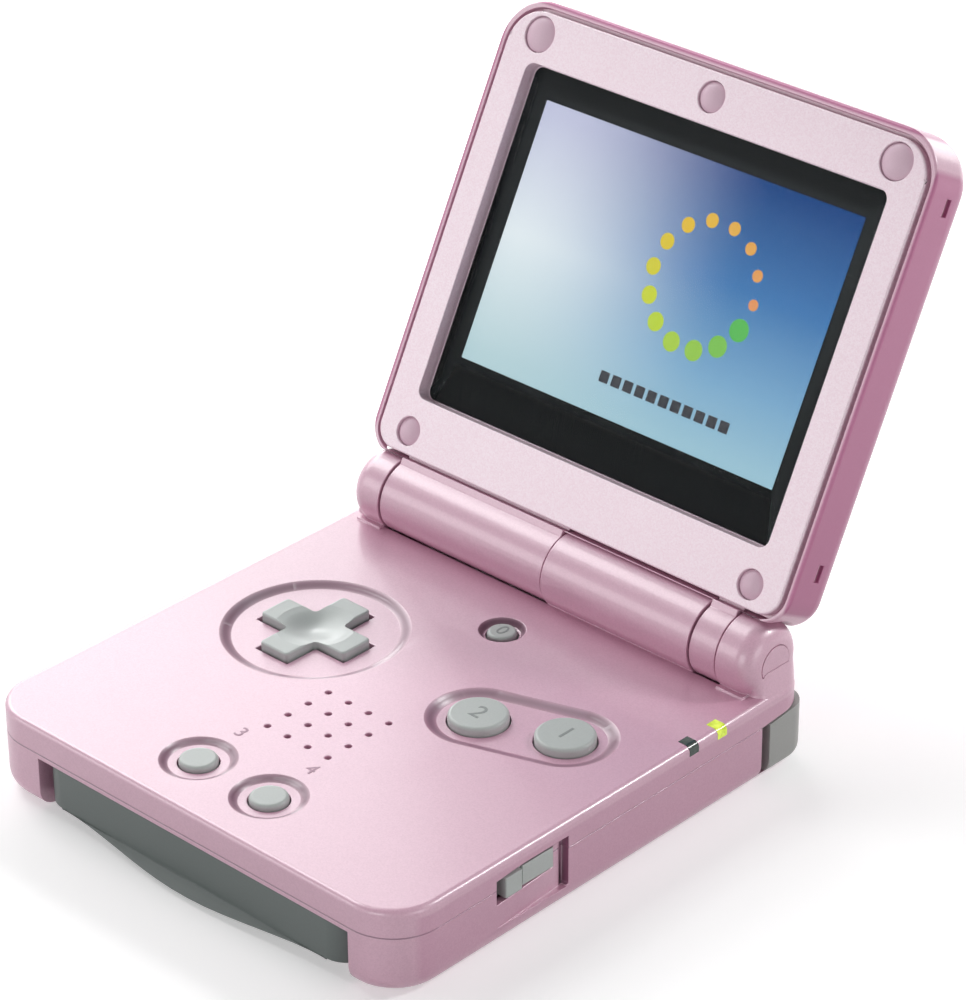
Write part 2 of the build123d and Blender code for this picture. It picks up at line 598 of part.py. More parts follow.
# ---------------------------------------------------------------- game card
def game_card():
    """Card with a flat front face and a curved lip that bulges out under it."""
    middle = (SLOT_LEFT + SLOT_RIGHT) / 2
    half = (SLOT_RIGHT - SLOT_LEFT) / 2 - 0.35
    face_y = FRONT_Y + 0.2
    body_x = (middle - CARD_BODY_WIDTH / 2, middle + CARD_BODY_WIDTH / 2)
    body = block(body_x, (FRONT_Y + 6, CARD_REAR), (CARD_BOTTOM, CARD_TOP))
    head = block((middle - half, middle + half), (face_y, face_y + CARD_HEAD), (CARD_BOTTOM, CARD_TOP))
    head = fillet(head.edges().filter_by(Axis.Z).group_by(Axis.Y)[0], CARD_CORNER)
    left, right = middle - half + CARD_CORNER, middle + half - CARD_CORNER

    def lip_outline(bulge, z):
        """The lip's level outline: a shallow arc in front of a straight back."""
        arc = ThreePointArc((left, face_y), (middle, face_y - bulge), (right, face_y))
        back = Polyline((right, face_y), (right, face_y + 2.5), (left, face_y + 2.5), (left, face_y))
        return Pos(0, 0, z) * make_face(arc + back)

    slope = loft([lip_outline(CARD_LIP, CARD_LIP_Z), lip_outline(0.1, CARD_BOTTOM)], ruled=True)
    foot = extrude(lip_outline(CARD_LIP, CARD_LIP_Z - 0.3), 0.3)
    return body + head + slope + foot


# ---------------------------------------------------------------- pieces inside the base
def main_board():
    board = block((-36.4, 36.4), (-38.5, 30.8), (BOARD_BOTTOM, BOARD_TOP))
    board += block((-23.5, 23.5), (30.8, 40.6), (BOARD_BOTTOM, BOARD_TOP))
    for x, y in CASE_SCREWS:
        board -= disc((x, y), BOSS_RADIUS + 0.3, (BOARD_BOTTOM - 1, BOARD_TOP + 1))
    return board


def key_mat(outline, top):
    """A rubber key mat lying on the board."""
    return Pos(0, 0, BOARD_TOP) * extrude(outline, top - BOARD_TOP)


def socket(x, depth):
    """A socket housing on the board's rear edge, open towards the rear wall."""
    front = REAR_Y - WALL - depth
    housing_z = (PORT_Z[0] - 0.5, BOARD_BOTTOM - 0.05)
    housing = block((x[0] - 0.8, x[1] + 0.8), (front, REAR_Y - WALL - 0.1), housing_z)
    return housing - block(x, (front + 0.8, REAR_Y), PORT_Z)


def cross_slot(place, reach, z):
    """The crossed drive slot in a screw head."""
    x, y = place
    bar = block((x - reach, x + reach), (y - 0.2, y + 0.2), z)
    return bar + block((x - 0.2, x + 0.2), (y - reach, y + reach), z)


def case_screw(place):
    return disc(place, 1.6, (1.2, 2.1)) + disc(place, 0.8, (2.0, 11.6)) - cross_slot(place, 1.0, (1.1, 1.6))


def lid_screw(place):
    return on_lid(disc(place, 0.8, (-3.5, 2.3)) + disc(place, 0.95, (2.25, 2.75)))


def battery_door():
    edge = 0.15
    door = block((-DOOR_X + edge, DOOR_X - edge), (DOOR_Y[0] + edge, DOOR_Y[1] - edge), (0, FLOOR - 0.02))
    thumb_rib_spacing = 1.4
    for row in range(5):
        y = 22.5 + row * thumb_rib_spacing
        door -= block((-7, 7), (y - 0.3, y + 0.3), (-0.1, 0.35))
    return door - disc(DOOR_SCREW, 1.0, (-1, 3)) - disc(DOOR_SCREW, 1.9, (-1, 0.7))


def battery_door_screw():
    screw = disc(DOOR_SCREW, 1.7, (0.15, 0.68)) + disc(DOOR_SCREW, 0.8, (0.6, 5.5))
    return screw - cross_slot(DOOR_SCREW, 1.1, (0, 0.4))


def speaker():
    basket = disc(SPEAKER_CENTRE, SPEAKER_RADIUS, (10.2, 12.1))
    cone = Pos(SPEAKER_CENTRE[0], SPEAKER_CENTRE[1], 11.6) * Cone(3.0, SPEAKER_RADIUS - 1.2, 1.0)
    return basket - cone + disc(SPEAKER_CENTRE, 5.5, (9.4, 10.3))


def card_connector():
    middle = (SLOT_LEFT + SLOT_RIGHT) / 2
    return block((middle - 26, middle + 26), (-7.9, -1.2), (FLOOR, BOARD_BOTTOM))


def build_parts():
    parts = {}
    parts["upper_base_shell"] = upper_base_shell()
    parts["lower_base_shell"] = lower_base_shell()
    parts["battery_door"] = battery_door()
    parts["battery_door_screw"] = battery_door_screw()
    inside = (BAY_Y[0] + 0.3, BAY_Y[1] - 0.3)
    parts["battery"] = block((-BAY_X + 0.3, BAY_X - 0.3), inside, (FLOOR, 8.3))
    parts["main_board"] = main_board()
    parts["card_connector"] = card_connector()
    parts["game_card"] = game_card()
    parts["speaker"] = speaker()
    parts["case_screws"] = Compound(children=[case_screw(place) for place in CASE_SCREWS])

    parts["dpad"] = dpad()
    parts["dpad_mat"] = key_mat(Pos(*PAD_CENTRE) * Circle(11.5), MAT_TOP + 0.3)
    parts["button_a"] = round_key(BUTTON_A, ACTION_RADIUS, DISH_Z + 1.3, ACTION_RADIUS + 1.2)
    parts["button_b"] = round_key(BUTTON_B, ACTION_RADIUS, DISH_Z + 1.3, ACTION_RADIUS + 1.2)
    pads = Pos(*BUTTON_A) * Circle(6.2) + Pos(*BUTTON_B) * Circle(6.2)
    middle = [(a + b) / 2 for a, b in zip(BUTTON_A, BUTTON_B)]
    parts["action_mat"] = key_mat(pads + Pos(*middle) * Rectangle(6, 6), MAT_TOP)
    parts["start_button"] = round_key(START_CENTRE, SMALL_RADIUS, DISH_Z + 0.8, SMALL_RADIUS + 0.9)
    parts["select_button"] = round_key(SELECT_CENTRE, SMALL_RADIUS, DISH_Z + 0.8, SMALL_RADIUS + 0.9)
    strip = Pos(0, START_CENTRE[1]) * SlotCenterToCenter(2 * START_CENTRE[0], 8.5)
    parts["start_select_mat"] = key_mat(strip, MAT_TOP)
    parts["light_button"] = round_key(LIGHT_CENTRE, LIGHT_RADIUS, BASE_HEIGHT - 0.15, LIGHT_RADIUS + 0.8)
    parts["light_mat"] = key_mat(Pos(*LIGHT_CENTRE) * Circle(3.6), MAT_TOP)

    parts["power_slider"] = power_slider()
    parts["volume_slider"] = volume_slider()
    parts["power_switch"] = block((32.0, 36.3), (-22.0, -12.0), (BOARD_TOP, 11.6))
    parts["volume_control"] = block((-36.3, -32.0), (-23.0, -11.0), (BOARD_TOP, 11.6))
    body = base_body()
    parts["power_light_pipe"] = body & led_space(LED_LIT_Y)
    parts["charge_light_pipe"] = body & led_space(LED_UNLIT_Y)

    right = shoulder_button()
    pin = disc(SHOULDER_PIVOT, 0.75, (0.4, 11.0))
    spring = disc(SHOULDER_PIVOT, 1.15, (6.7, 9.2)) - disc(SHOULDER_PIVOT, 0.8, (6, 10))
    for side, mirrored in (("right", False), ("left", True)):
        for name, shape in (("shoulder_button", right), ("shoulder_pin", pin), ("shoulder_spring", spring)):
            parts[f"{name}_{side}"] = mirror(shape, about=Plane.YZ) if mirrored else shape

    parts["link_socket"] = socket(LINK_PORT_X, 7.0)
    parts["power_socket"] = socket(POWER_PORT_X, 7.0)

    parts["hinge_cam_unit"] = rod(BORE_RADIUS - 0.05, (9.0, 28.0)) - rod(1.3, (23.0, 28.1))
    parts["hinge_cam_key"] = rod(2.6, (28.6, 31.3)) + rod(1.25, (23.2, 28.7))
    parts["hinge_pin_right"] = rod(1.5, (31.6, EAR_OUTER - 1.3))
    parts["hinge_bush_left"] = rod(BUSH_RADIUS, (-EAR_OUTER + 2.05, -28.0)) - rod(2.2, (-45, -20))
    cap = rod(CAP_RADIUS, (EAR_OUTER - 1.15, EAR_OUTER + 0.05))
    parts["hinge_cap_right"] = cap
    parts["hinge_cap_left"] = mirror(cap, about=Plane.YZ)

    parts["lid_outer_shell"] = lid_outer_shell()
    parts["lid_inner_shell"] = lid_inner_shell()
    parts["screen_lens"] = screen_lens()
    parts["lens_border"] = lens_border()
    parts["light_guide"] = on_lid(screen_stack(1.0, (0.45, 1.15)))
    parts["lcd_panel"] = on_lid(screen_stack(1.0, (-0.2, 0.4)) + screen_stack(2.0, (-2.1, -0.1)))
    parts["lcd_frame"] = lcd_frame()
    parts["display_ribbon"] = display_ribbon()
    parts["top_screw_covers"] = Compound(children=both_sides(screw_cover(COVER_TOP, COVER_TOP_RADIUS, 0.3)))
    parts["middle_screw_cover"] = screw_cover(COVER_MIDDLE, COVER_MIDDLE_RADIUS, 0.25)
    low = screw_cover(COVER_BOTTOM, COVER_BOTTOM_RADIUS, 0.15)
    parts["bottom_screw_covers"] = Compound(children=both_sides(low))
    parts["lid_screws"] = Compound(children=[lid_screw(place) for place in screw_places()])
    return parts


for node, shape in build_parts().items():
    export_step(shape, f"parts/{node}.step")
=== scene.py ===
"""Looks for a clamshell handheld game console: finishes, fine fittings, studio and camera."""

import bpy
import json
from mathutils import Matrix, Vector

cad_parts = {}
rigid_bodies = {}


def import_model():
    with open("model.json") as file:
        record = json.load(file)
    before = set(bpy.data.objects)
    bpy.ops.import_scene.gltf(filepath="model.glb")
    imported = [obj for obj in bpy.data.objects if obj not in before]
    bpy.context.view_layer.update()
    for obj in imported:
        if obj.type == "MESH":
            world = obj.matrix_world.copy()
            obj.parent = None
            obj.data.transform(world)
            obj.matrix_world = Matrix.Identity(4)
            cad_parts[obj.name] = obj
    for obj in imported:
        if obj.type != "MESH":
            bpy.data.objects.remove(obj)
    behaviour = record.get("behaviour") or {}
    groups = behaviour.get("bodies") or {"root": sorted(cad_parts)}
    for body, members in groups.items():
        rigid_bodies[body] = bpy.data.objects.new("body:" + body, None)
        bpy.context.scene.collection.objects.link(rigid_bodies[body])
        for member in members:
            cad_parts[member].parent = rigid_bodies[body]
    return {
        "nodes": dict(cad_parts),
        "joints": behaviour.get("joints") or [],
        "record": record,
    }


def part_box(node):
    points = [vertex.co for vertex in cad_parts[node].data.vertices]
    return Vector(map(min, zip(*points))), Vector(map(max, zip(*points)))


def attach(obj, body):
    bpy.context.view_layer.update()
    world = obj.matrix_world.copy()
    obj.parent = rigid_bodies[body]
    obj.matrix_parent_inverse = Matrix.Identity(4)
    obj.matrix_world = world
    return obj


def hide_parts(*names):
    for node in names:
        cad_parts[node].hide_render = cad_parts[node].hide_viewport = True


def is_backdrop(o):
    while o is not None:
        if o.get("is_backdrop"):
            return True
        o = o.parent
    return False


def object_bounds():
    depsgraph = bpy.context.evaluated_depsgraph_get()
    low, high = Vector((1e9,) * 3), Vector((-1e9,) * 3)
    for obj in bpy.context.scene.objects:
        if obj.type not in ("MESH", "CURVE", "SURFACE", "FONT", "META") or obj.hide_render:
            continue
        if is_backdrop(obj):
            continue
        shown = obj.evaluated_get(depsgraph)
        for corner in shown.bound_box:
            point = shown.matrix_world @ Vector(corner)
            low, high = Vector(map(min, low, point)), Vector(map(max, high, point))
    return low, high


bl_info = {
    "name": "Clamshell Handheld Finish",
    "version": (1, 0, 0),
    "blender": (4, 5, 0),
    "location": "3D View > Sidebar > Handheld",
    "description": "Dresses the packed clamshell handheld console and sets up its studio",
    "category": "Object",
}

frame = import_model()

import json
from math import atan, cos, hypot, pi, radians, sin, tan

import bmesh
import bpy
from mathutils import Matrix, Vector

CAD_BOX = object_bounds()
MM = 0.001
FLAT_DEG = 0.4
FLAT_COSINE = cos(radians(FLAT_DEG))


# ---------------------------------------------------------------- places read from the frame
def hinge_frame():
    """The lid's own axes at rest: X, up the lid from the hinge axis, and outwards from its face."""
    joint = next(j for j in frame["joints"] if j["name"] == "lid_hinge")
    widest = max(frame["nodes"]["lens_border"].data.polygons, key=lambda face: face.area)
    return Vector(joint["pos_m"]), atan(abs(widest.normal.y / widest.normal.z))


HINGE, LID_SLOPE = hinge_frame()
LID_TO_WORLD = Matrix.Translation(HINGE) @ Matrix.Rotation(LID_SLOPE, 4, "X")
SHELL_TOP = 13.6 * MM


# ---------------------------------------------------------------- materials
def hex_colour(text, alpha=1.0):
    """An sRGB hex colour as the linear values that Blender's sockets take."""
    parts = [int(text[i:i + 2], 16) / 255 for i in (1, 3, 5)]
    linear = [p / 12.92 if p <= 0.04045 else ((p + 0.055) / 1.055) ** 2.4 for p in parts]
    return (*linear, alpha)


def add_node(tree, kind, inputs=(), **settings):
    """Adds one node, applies its own settings, then sets or links each named input."""
    made = tree.nodes.new(kind)
    for name, value in settings.items():
        setattr(made, name, value)
    for name, value in dict(inputs).items():
        if isinstance(value, bpy.types.NodeSocket):
            tree.links.new(value, made.inputs[name])
        else:
            made.inputs[name].default_value = value
    return made


def new_material(name, **principled):
    """A material with a Principled shader, whose inputs are given with _ for each space."""
    material = bpy.data.materials.new(name)
    material.use_nodes = True
    tree = material.node_tree
    shader = tree.nodes["Principled BSDF"]
    for key, value in principled.items():
        shader.inputs[key.replace("_", " ")].default_value = value
    return material, tree, shader


def colour_ramp(tree, factor, stops):
    """A colour ramp over the factor, with (position, hex colour) stops."""
    ramp = add_node(tree, "ShaderNodeValToRGB", {"Fac": factor})
    elements = ramp.color_ramp.elements
    while len(elements) < len(stops):
        elements.new(0.5)
    for element, (position, colour) in zip(elements, stops):
        element.position = position
        element.color = hex_colour(colour)
    return ramp.outputs["Color"]


def object_place(tree):
    return add_node(tree, "ShaderNodeTexCoord").outputs["Object"]


def lid_place(tree):
    """Coordinates in the lid's own axes, in millimetres: X, up the lid, outwards from its face."""
    mapping = add_node(
        tree,
        "ShaderNodeMapping",
        {
            "Vector": object_place(tree),
            "Location": HINGE,
            "Rotation": (LID_SLOPE, 0, 0),
            "Scale": (MM, MM, MM),
        },
        vector_type="TEXTURE",
    )
    return mapping.outputs["Vector"]


def bump(tree, height, depth, strength, shader, *more_shader_inputs):
    relief = add_node(tree, "ShaderNodeBump", {"Height": height, "Strength": strength, "Distance": depth})
    for name in ("Normal", *more_shader_inputs):
        tree.links.new(relief.outputs["Normal"], shader.inputs[name])


def between(tree, factor, low, high):
    """A mix of two colours, each an (r, g, b, a) value or a socket."""
    blend = add_node(
        tree, "ShaderNodeMix", data_type="RGBA"
    )
    for socket, value in (("Factor", factor), ("A", low), ("B", high)):
        target = next(i for i in blend.inputs if i.name == socket and i.enabled)
        if isinstance(value, bpy.types.NodeSocket):
            tree.links.new(value, target)
        else:
            target.default_value = value
    return next(o for o in blend.outputs if o.enabled)


def math_node(tree, operation, first, second=0.0, clamp=False):
    made = add_node(tree, "ShaderNodeMath", {0: first, 1: second}, operation=operation, use_clamp=clamp)
    return made.outputs[0]


def within(tree, value, middle, reach):
    """1 where a value lies no further than reach from the middle."""
    off = math_node(tree, "ABSOLUTE", math_node(tree, "SUBTRACT", value, middle))
    return math_node(tree, "LESS_THAN", off, reach)


def dish_rise(tree, place, middle, turn, half_length, floor, rim):
    """0 on a dish's floor and 1 outside it, for a round dish or a long one with round ends."""
    placed = add_node(
        tree,
        "ShaderNodeMapping",
        {"Vector": place, "Location": middle, "Rotation": (0, 0, turn)},
        vector_type="TEXTURE",
    )
    axes = add_node(tree, "ShaderNodeSeparateXYZ", {"Vector": placed.outputs["Vector"]}).outputs
    along = math_node(tree, "ABSOLUTE", axes["X"])
    past_end = math_node(tree, "MAXIMUM", math_node(tree, "SUBTRACT", along, half_length), 0.0)
    away = add_node(tree, "ShaderNodeCombineXYZ", {"X": past_end, "Y": axes["Y"]})
    reach = add_node(tree, "ShaderNodeVectorMath", {0: away.outputs[0]}, operation="LENGTH")
    rise = add_node(
        tree, "ShaderNodeMapRange", {"Value": reach.outputs["Value"], "From Min": floor, "From Max": rim}
    )
    return rise.outputs["Result"]


def pearl_lacquer(name, settings, pale, deep, dishes=(), seam=None, outline=None):
    """Pearlescent lacquer over moulded plastic: a pink coat whose mica flakes throw white light back softly.

    Each dish is (middle, turn, half length, floor radius, rim radius). Its wall is hollowed as well as sloped, and
    darkened with painted shade. The seam is the height of a parting line, whose fine groove is darkened with painted
    shade.
    The outline is the lid's half width and top in its own axes: its side walls and top edge get a deeper pink as
    painted shade.
    """
    # the flakes are mica coated with titania, whose index is 2.4, so pale light comes back at a wide angle
    # under the clear top coat; the colour between them is the pink of the base coat
    material, tree, shader = new_material(
        name, Roughness=0.4, IOR=2.2, Coat_Weight=0.4, Coat_Roughness=0.12, Coat_IOR=1.5
    )
    place = object_place(tree)
    # mica flakes are some 0.05 mm across; they are drawn at 0.2 mm so that they just show
    flakes = add_node(tree, "ShaderNodeTexVoronoi", {"Vector": place, "Scale": 1 / (0.2 * MM)})
    flake = add_node(tree, "ShaderNodeSeparateColor", {"Color": flakes.outputs["Color"]})
    # sprayed coats gather a little unevenly over a few millimetres
    cloud = add_node(tree, "ShaderNodeTexNoise", {"Vector": place, "Scale": 1 / (7 * MM), "Detail": 2.0})
    amount = math_node(
        tree,
        "ADD",
        math_node(tree, "MULTIPLY", flake.outputs["Red"], 0.7),
        math_node(tree, "MULTIPLY", cloud.outputs["Fac"], 0.3),
    )
    shade = between(tree, amount, (*deep, 1), (*pale, 1))
    height = math_node(tree, "MULTIPLY", flake.outputs["Green"], 0.0015 * MM / settings.dish_relief)
    # painted shade: how far the dish walls, the parting line's groove and the slider grooves are darkened
    painted_shade = 0.0
    for dish in dishes:
        rise = dish_rise(tree, place, *dish)
        height = math_node(tree, "ADD", height, rise)
        # painted shade on the dish wall: 1 halfway up it, 0 at its foot and rim
        fall = math_node(tree, "SUBTRACT", 1.0, rise)
        steep = math_node(tree, "MULTIPLY", math_node(tree, "MULTIPLY", rise, fall), 4.0)
        painted_shade = math_node(tree, "MAXIMUM", steep, painted_shade)
    if seam is not None:
        axes = add_node(tree, "ShaderNodeSeparateXYZ", {"Vector": place}).outputs
        off = math_node(tree, "ABSOLUTE", math_node(tree, "SUBTRACT", axes["Z"], seam))
        # painted shade in the parting line's groove, which is 0.2 mm wide and drawn at 0.3 mm
        groove = add_node(
            tree, "ShaderNodeMapRange", {"Value": off, "From Min": 0.08 * MM, "From Max": 0.15 * MM, "To Min": 1, "To Max": 0}
        )
        painted_shade = math_node(tree, "MAXIMUM", groove.outputs["Result"], painted_shade)
        # painted shade in the upright groove at the rear end of each slider's recess
        across, along, upright = (
            within(tree, math_node(tree, "ABSOLUTE", axes[name]), middle * MM, reach * MM)
            for name, middle, reach in (("X", 40.1, 0.8), ("Y", 9.25, 0.52), ("Z", 7.3, 4.0))
        )
        inside = math_node(tree, "MULTIPLY", math_node(tree, "MULTIPLY", across, along), upright)
        painted_shade = math_node(tree, "MAXIMUM", inside, painted_shade)
        # painted shade: a little deeper pink on the upright side walls, under the rounded edge
        on_side = add_node(
            tree,
            "ShaderNodeMapRange",
            {"Value": math_node(tree, "ABSOLUTE", axes["X"]), "From Min": 40.1 * MM, "From Max": 40.6 * MM},
        ).outputs["Result"]
        under_edge = add_node(
            tree, "ShaderNodeMapRange", {"Value": axes["Z"], "From Min": 12.3 * MM, "From Max": 11.9 * MM}
        ).outputs["Result"]
        painted_side_shade = math_node(tree, "MULTIPLY", math_node(tree, "MULTIPLY", on_side, under_edge), 0.22)
    if dishes or seam is not None:
        # the painted shade darkens the lacquer's colour there
        shade = between(tree, painted_shade, shade, (*settings.painted_shade, 1))
    # painted shade: a deeper pink on the lid's side walls and along its top
    if outline:
        band = 0.9 * MM
        axes = add_node(tree, "ShaderNodeSeparateXYZ", {"Vector": lid_place(tree)}).outputs
        half_width, top = outline
        past_side = math_node(
            tree, "SUBTRACT", math_node(tree, "ABSOLUTE", axes["X"]), (half_width - band) / MM
        )
        past_top = math_node(tree, "SUBTRACT", axes["Y"], (top - band) / MM)
        painted_side_shade = add_node(
            tree,
            "ShaderNodeMapRange",
            {"Value": math_node(tree, "MAXIMUM", past_side, past_top), "From Min": 0.0, "From Max": 0.5, "To Max": 0.85},
            interpolation_type="SMOOTHSTEP",
        ).outputs["Result"]
    if outline or seam is not None:
        # the painted shade deepens the pink on the side walls
        shade = between(tree, painted_side_shade, shade, (*settings.painted_side_shade, 1))
        # where the side walls are darkened with painted shade, their reflections are tinted pink in place of white
        glint = between(tree, painted_side_shade, (1, 1, 1, 1), (1, 0.45, 0.7, 1))
        tree.links.new(glint, shader.inputs["Specular Tint"])
    tree.links.new(shade, shader.inputs["Base Color"])
    bump(tree, height, settings.dish_relief, 1.0, shader)
    return material


def moulded_plastic(name, colour, roughness, grit_mm=0.3, tone=0.06, relief=0.15):
    """Spark-eroded moulded plastic: an even colour with a faint texture left by the mould."""
    material, tree, shader = new_material(name, Roughness=roughness, IOR=1.5)
    grit = add_node(
        tree, "ShaderNodeTexNoise", {"Vector": object_place(tree), "Scale": 1 / (grit_mm * MM), "Detail": 4.0}
    )
    base = hex_colour(colour)[:3]
    dark = [c * (1 - tone) for c in base]
    light = [min(1.0, c * (1 + tone)) for c in base]
    tree.links.new(between(tree, grit.outputs["Fac"], (*dark, 1), (*light, 1)), shader.inputs["Base Color"])
    bump(tree, grit.outputs["Fac"], 0.03 * MM, relief, shader)
    return material


def hollowed_plastic(name, colour, roughness, centre, radius, depth):
    """Moulded key plastic with a round thumb hollow: the hollow shades like a shallow bowl."""
    material, tree, shader = new_material(name, Roughness=roughness, IOR=1.5)
    place = object_place(tree)
    grit = add_node(tree, "ShaderNodeTexNoise", {"Vector": place, "Scale": 1 / (0.3 * MM), "Detail": 4.0})
    base = hex_colour(colour)[:3]
    dark = [c * 0.94 for c in base]
    tree.links.new(between(tree, grit.outputs["Fac"], (*dark, 1), (*base, 1)), shader.inputs["Base Color"])
    flat = add_node(tree, "ShaderNodeVectorMath", {0: place, 1: (1, 1, 0)}, operation="MULTIPLY")
    middle = (centre[0], centre[1], 0)
    away = add_node(tree, "ShaderNodeVectorMath", {0: flat.outputs[0], 1: middle}, operation="DISTANCE")
    bowl = add_node(
        tree,
        "ShaderNodeMapRange",
        {"Value": away.outputs["Value"], "From Min": 0.0, "From Max": radius},
        interpolation_type="SMOOTHSTEP",
    )
    bump(tree, bowl.outputs["Result"], depth, 1.0, shader)
    return material


def brushed_steel(name, colour, roughness, grain=(1, 1, 12)):
    """Bright rolled or turned steel: fine lines that run one way stretch the highlights across them."""
    material, tree, shader = new_material(name, Metallic=1.0, Roughness=roughness)
    # turning lines are about 0.05 mm apart; they are drawn at 0.15 mm
    place = add_node(tree, "ShaderNodeMapping", {"Vector": object_place(tree), "Scale": grain})
    lines = add_node(
        tree, "ShaderNodeTexNoise", {"Vector": place.outputs["Vector"], "Scale": 1 / (0.15 * MM * max(grain))}
    )
    base = hex_colour(colour)[:3]
    dark = [c * 0.8 for c in base]
    tree.links.new(between(tree, lines.outputs["Fac"], (*dark, 1), (*base, 1)), shader.inputs["Base Color"])
    bump(tree, lines.outputs["Fac"], 0.02 * MM, 0.3, shader)
    return material


def solder_resist():
    """Green solder resist over copper tracks: raised paler lines half a millimetre apart."""
    material, tree, shader = new_material("green solder resist", Roughness=0.35, IOR=1.5)
    place = object_place(tree)
    # tracks and gaps are 0.25 mm wide each
    tracks = add_node(
        tree,
        "ShaderNodeTexBrick",
        {
            "Vector": place,
            "Scale": 1.0,
            "Brick Width": 6 * MM,
            "Row Height": 0.5 * MM,
            "Mortar Size": 0.12 * MM,
            "Color1": hex_colour("#2A6E45"),
            "Color2": hex_colour("#26643F"),
            "Mortar": hex_colour("#174A2C"),
        },
    )
    tree.links.new(tracks.outputs["Color"], shader.inputs["Base Color"])
    bump(tree, tracks.outputs["Fac"], 0.03 * MM, -0.4 + 0.8, shader)
    return material


def ribbon_film():
    """Polyimide film over copper strips: glossy amber with fine lines along it."""
    material, tree, shader = new_material("polyimide film", Roughness=0.25, IOR=1.7)
    # the conductors are 0.5 mm apart across the ribbon
    strips = add_node(
        tree,
        "ShaderNodeTexWave",
        {"Vector": object_place(tree), "Scale": 0.314 / (0.5 * MM), "Distortion": 0.0},
        bands_direction="X",
    )
    colour = colour_ramp(tree, strips.outputs["Fac"], [(0.35, "#8E5418"), (0.65, "#C98A34")])
    tree.links.new(colour, shader.inputs["Base Color"])
    return material


def black_border_film():
    """Black ink printed behind the lens: dense and even, with only a trace of the screen's mesh."""
    material, tree, shader = new_material("black printed film", Roughness=0.6, IOR=1.5, Specular_IOR_Level=0.2)
    # the printing mesh leaves dots 0.2 mm apart
    mesh_marks = add_node(tree, "ShaderNodeTexVoronoi", {"Vector": object_place(tree), "Scale": 1 / (0.2 * MM)})
    colour = colour_ramp(tree, mesh_marks.outputs["Distance"], [(0.0, "#141B1D"), (1.0, "#0E1416")])
    tree.links.new(colour, shader.inputs["Base Color"])
    return material


def clear_acrylic(name, roughness):
    """Clear acrylic with an anti-reflection coat: what lies behind shows through with hardly any glare."""
    material, tree, shader = new_material(name, Roughness=roughness, IOR=1.49, Alpha=0.03)
    # faint moulding ripples, some 6 mm long
    ripple = add_node(tree, "ShaderNodeTexNoise", {"Vector": object_place(tree), "Scale": 1 / (6 * MM)})
    tint = colour_ramp(tree, ripple.outputs["Fac"], [(0.3, "#0A0E10"), (0.7, "#0E1214")])
    tree.links.new(tint, shader.inputs["Base Color"])
    return material


def lit_picture(settings):
    """A lit liquid crystal display: a soft blue sweep with a bright left edge, in a fine grid of pixels."""
    material, tree, shader = new_material("lit display", Roughness=0.6, IOR=1.5, Specular_IOR_Level=0.1)
    low, high = lid_limits("lcd_panel")
    place = add_node(tree, "ShaderNodeSeparateXYZ", {"Vector": lid_place(tree)})
    across, up = (
        add_node(
            tree,
            "ShaderNodeMapRange",
            {"Value": place.outputs[axis], "From Min": low[axis] / MM, "From Max": high[axis] / MM},
        ).outputs["Result"]
        for axis in (0, 1)
    )
    left = colour_ramp(tree, up, [(0.08, "#BEDCE2"), (0.5, "#EDF8FD"), (0.92, "#CCD0EA")])
    right = colour_ramp(tree, up, [(0.06, "#A2CCDD"), (0.3, "#7FB0D4"), (0.6, "#3F7CB9"), (0.94, "#0C4488")])
    sweep = add_node(
        tree,
        "ShaderNodeMapRange",
        {"Value": across, "From Min": 0.05, "From Max": 0.72},
        interpolation_type="SMOOTHSTEP",
    )
    picture = between(tree, sweep.outputs["Result"], left, right)
    # pixels are 0.24 mm square; the dark net between them is drawn faintly
    pixels = add_node(
        tree,
        "ShaderNodeTexBrick",
        {
            "Vector": lid_place(tree),
            "Scale": 1.0,
            "Brick Width": 0.24,
            "Row Height": 0.24,
            "Mortar Size": 0.012,
            "Color1": (1, 1, 1, 1),
            "Color2": (0.98, 0.98, 0.98, 1),
            "Mortar": (0.85, 0.85, 0.85, 1),
        },
        offset=0.0,
    )
    lit = add_node(tree, "ShaderNodeMix", data_type="RGBA", blend_type="MULTIPLY")
    lit.inputs[0].default_value = 1.0
    tree.links.new(picture, lit.inputs[6])
    tree.links.new(pixels.outputs["Color"], lit.inputs[7])
    tree.links.new(lit.outputs[2], shader.inputs["Emission Color"])
    shader.inputs["Base Color"].default_value = hex_colour("#0C1218")
    shader.inputs["Emission Strength"].default_value = settings.level
    return material


def lit_dots(settings):
    """Bright display dots, graded from orange through yellow to green round their ring."""
    material, tree, shader = new_material(
        "graded display dots", Roughness=0.6, IOR=1.5, Specular_IOR_Level=0.1
    )
    shade = add_node(tree, "ShaderNodeAttribute", attribute_name="shade").outputs["Fac"]
    colour = colour_ramp(
        tree, shade, [(0.0, "#E89B62"), (0.4, "#E8C23A"), (0.65, "#C8DC3E"), (1.0, "#5CBE5A")]
    )
    tree.links.new(colour, shader.inputs["Emission Color"])
    shader.inputs["Base Color"].default_value = hex_colour("#101010")
    shader.inputs["Emission Strength"].default_value = settings.level
    return material


def light_pipe(name, body, glow, level):
    """Tinted clear styrene that carries a lamp's light to the surface."""
    material, tree, shader = new_material(name, Roughness=0.18, IOR=1.59)
    # the light is uneven over about a millimetre
    haze = add_node(tree, "ShaderNodeTexNoise", {"Vector": object_place(tree), "Scale": 1 / (1.0 * MM)})
    tree.links.new(
        colour_ramp(tree, haze.outputs["Fac"], [(0.3, body), (0.7, glow)]), shader.inputs["Base Color"]
    )
    if level:
        tree.links.new(
            colour_ramp(tree, haze.outputs["Fac"], [(0.3, body), (0.7, glow)]), shader.inputs["Emission Color"]
        )
        shader.inputs["Emission Strength"].default_value = level
    return material


def use_material(objects, material):
    for item in objects:
        item.data.materials.clear()
        item.data.materials.append(material)


def dress(material, *nodes):
    """Gives CAD nodes a material, keeping their shape."""
    for node in nodes:
        for slot in frame["nodes"][node].material_slots:
            slot.material = material


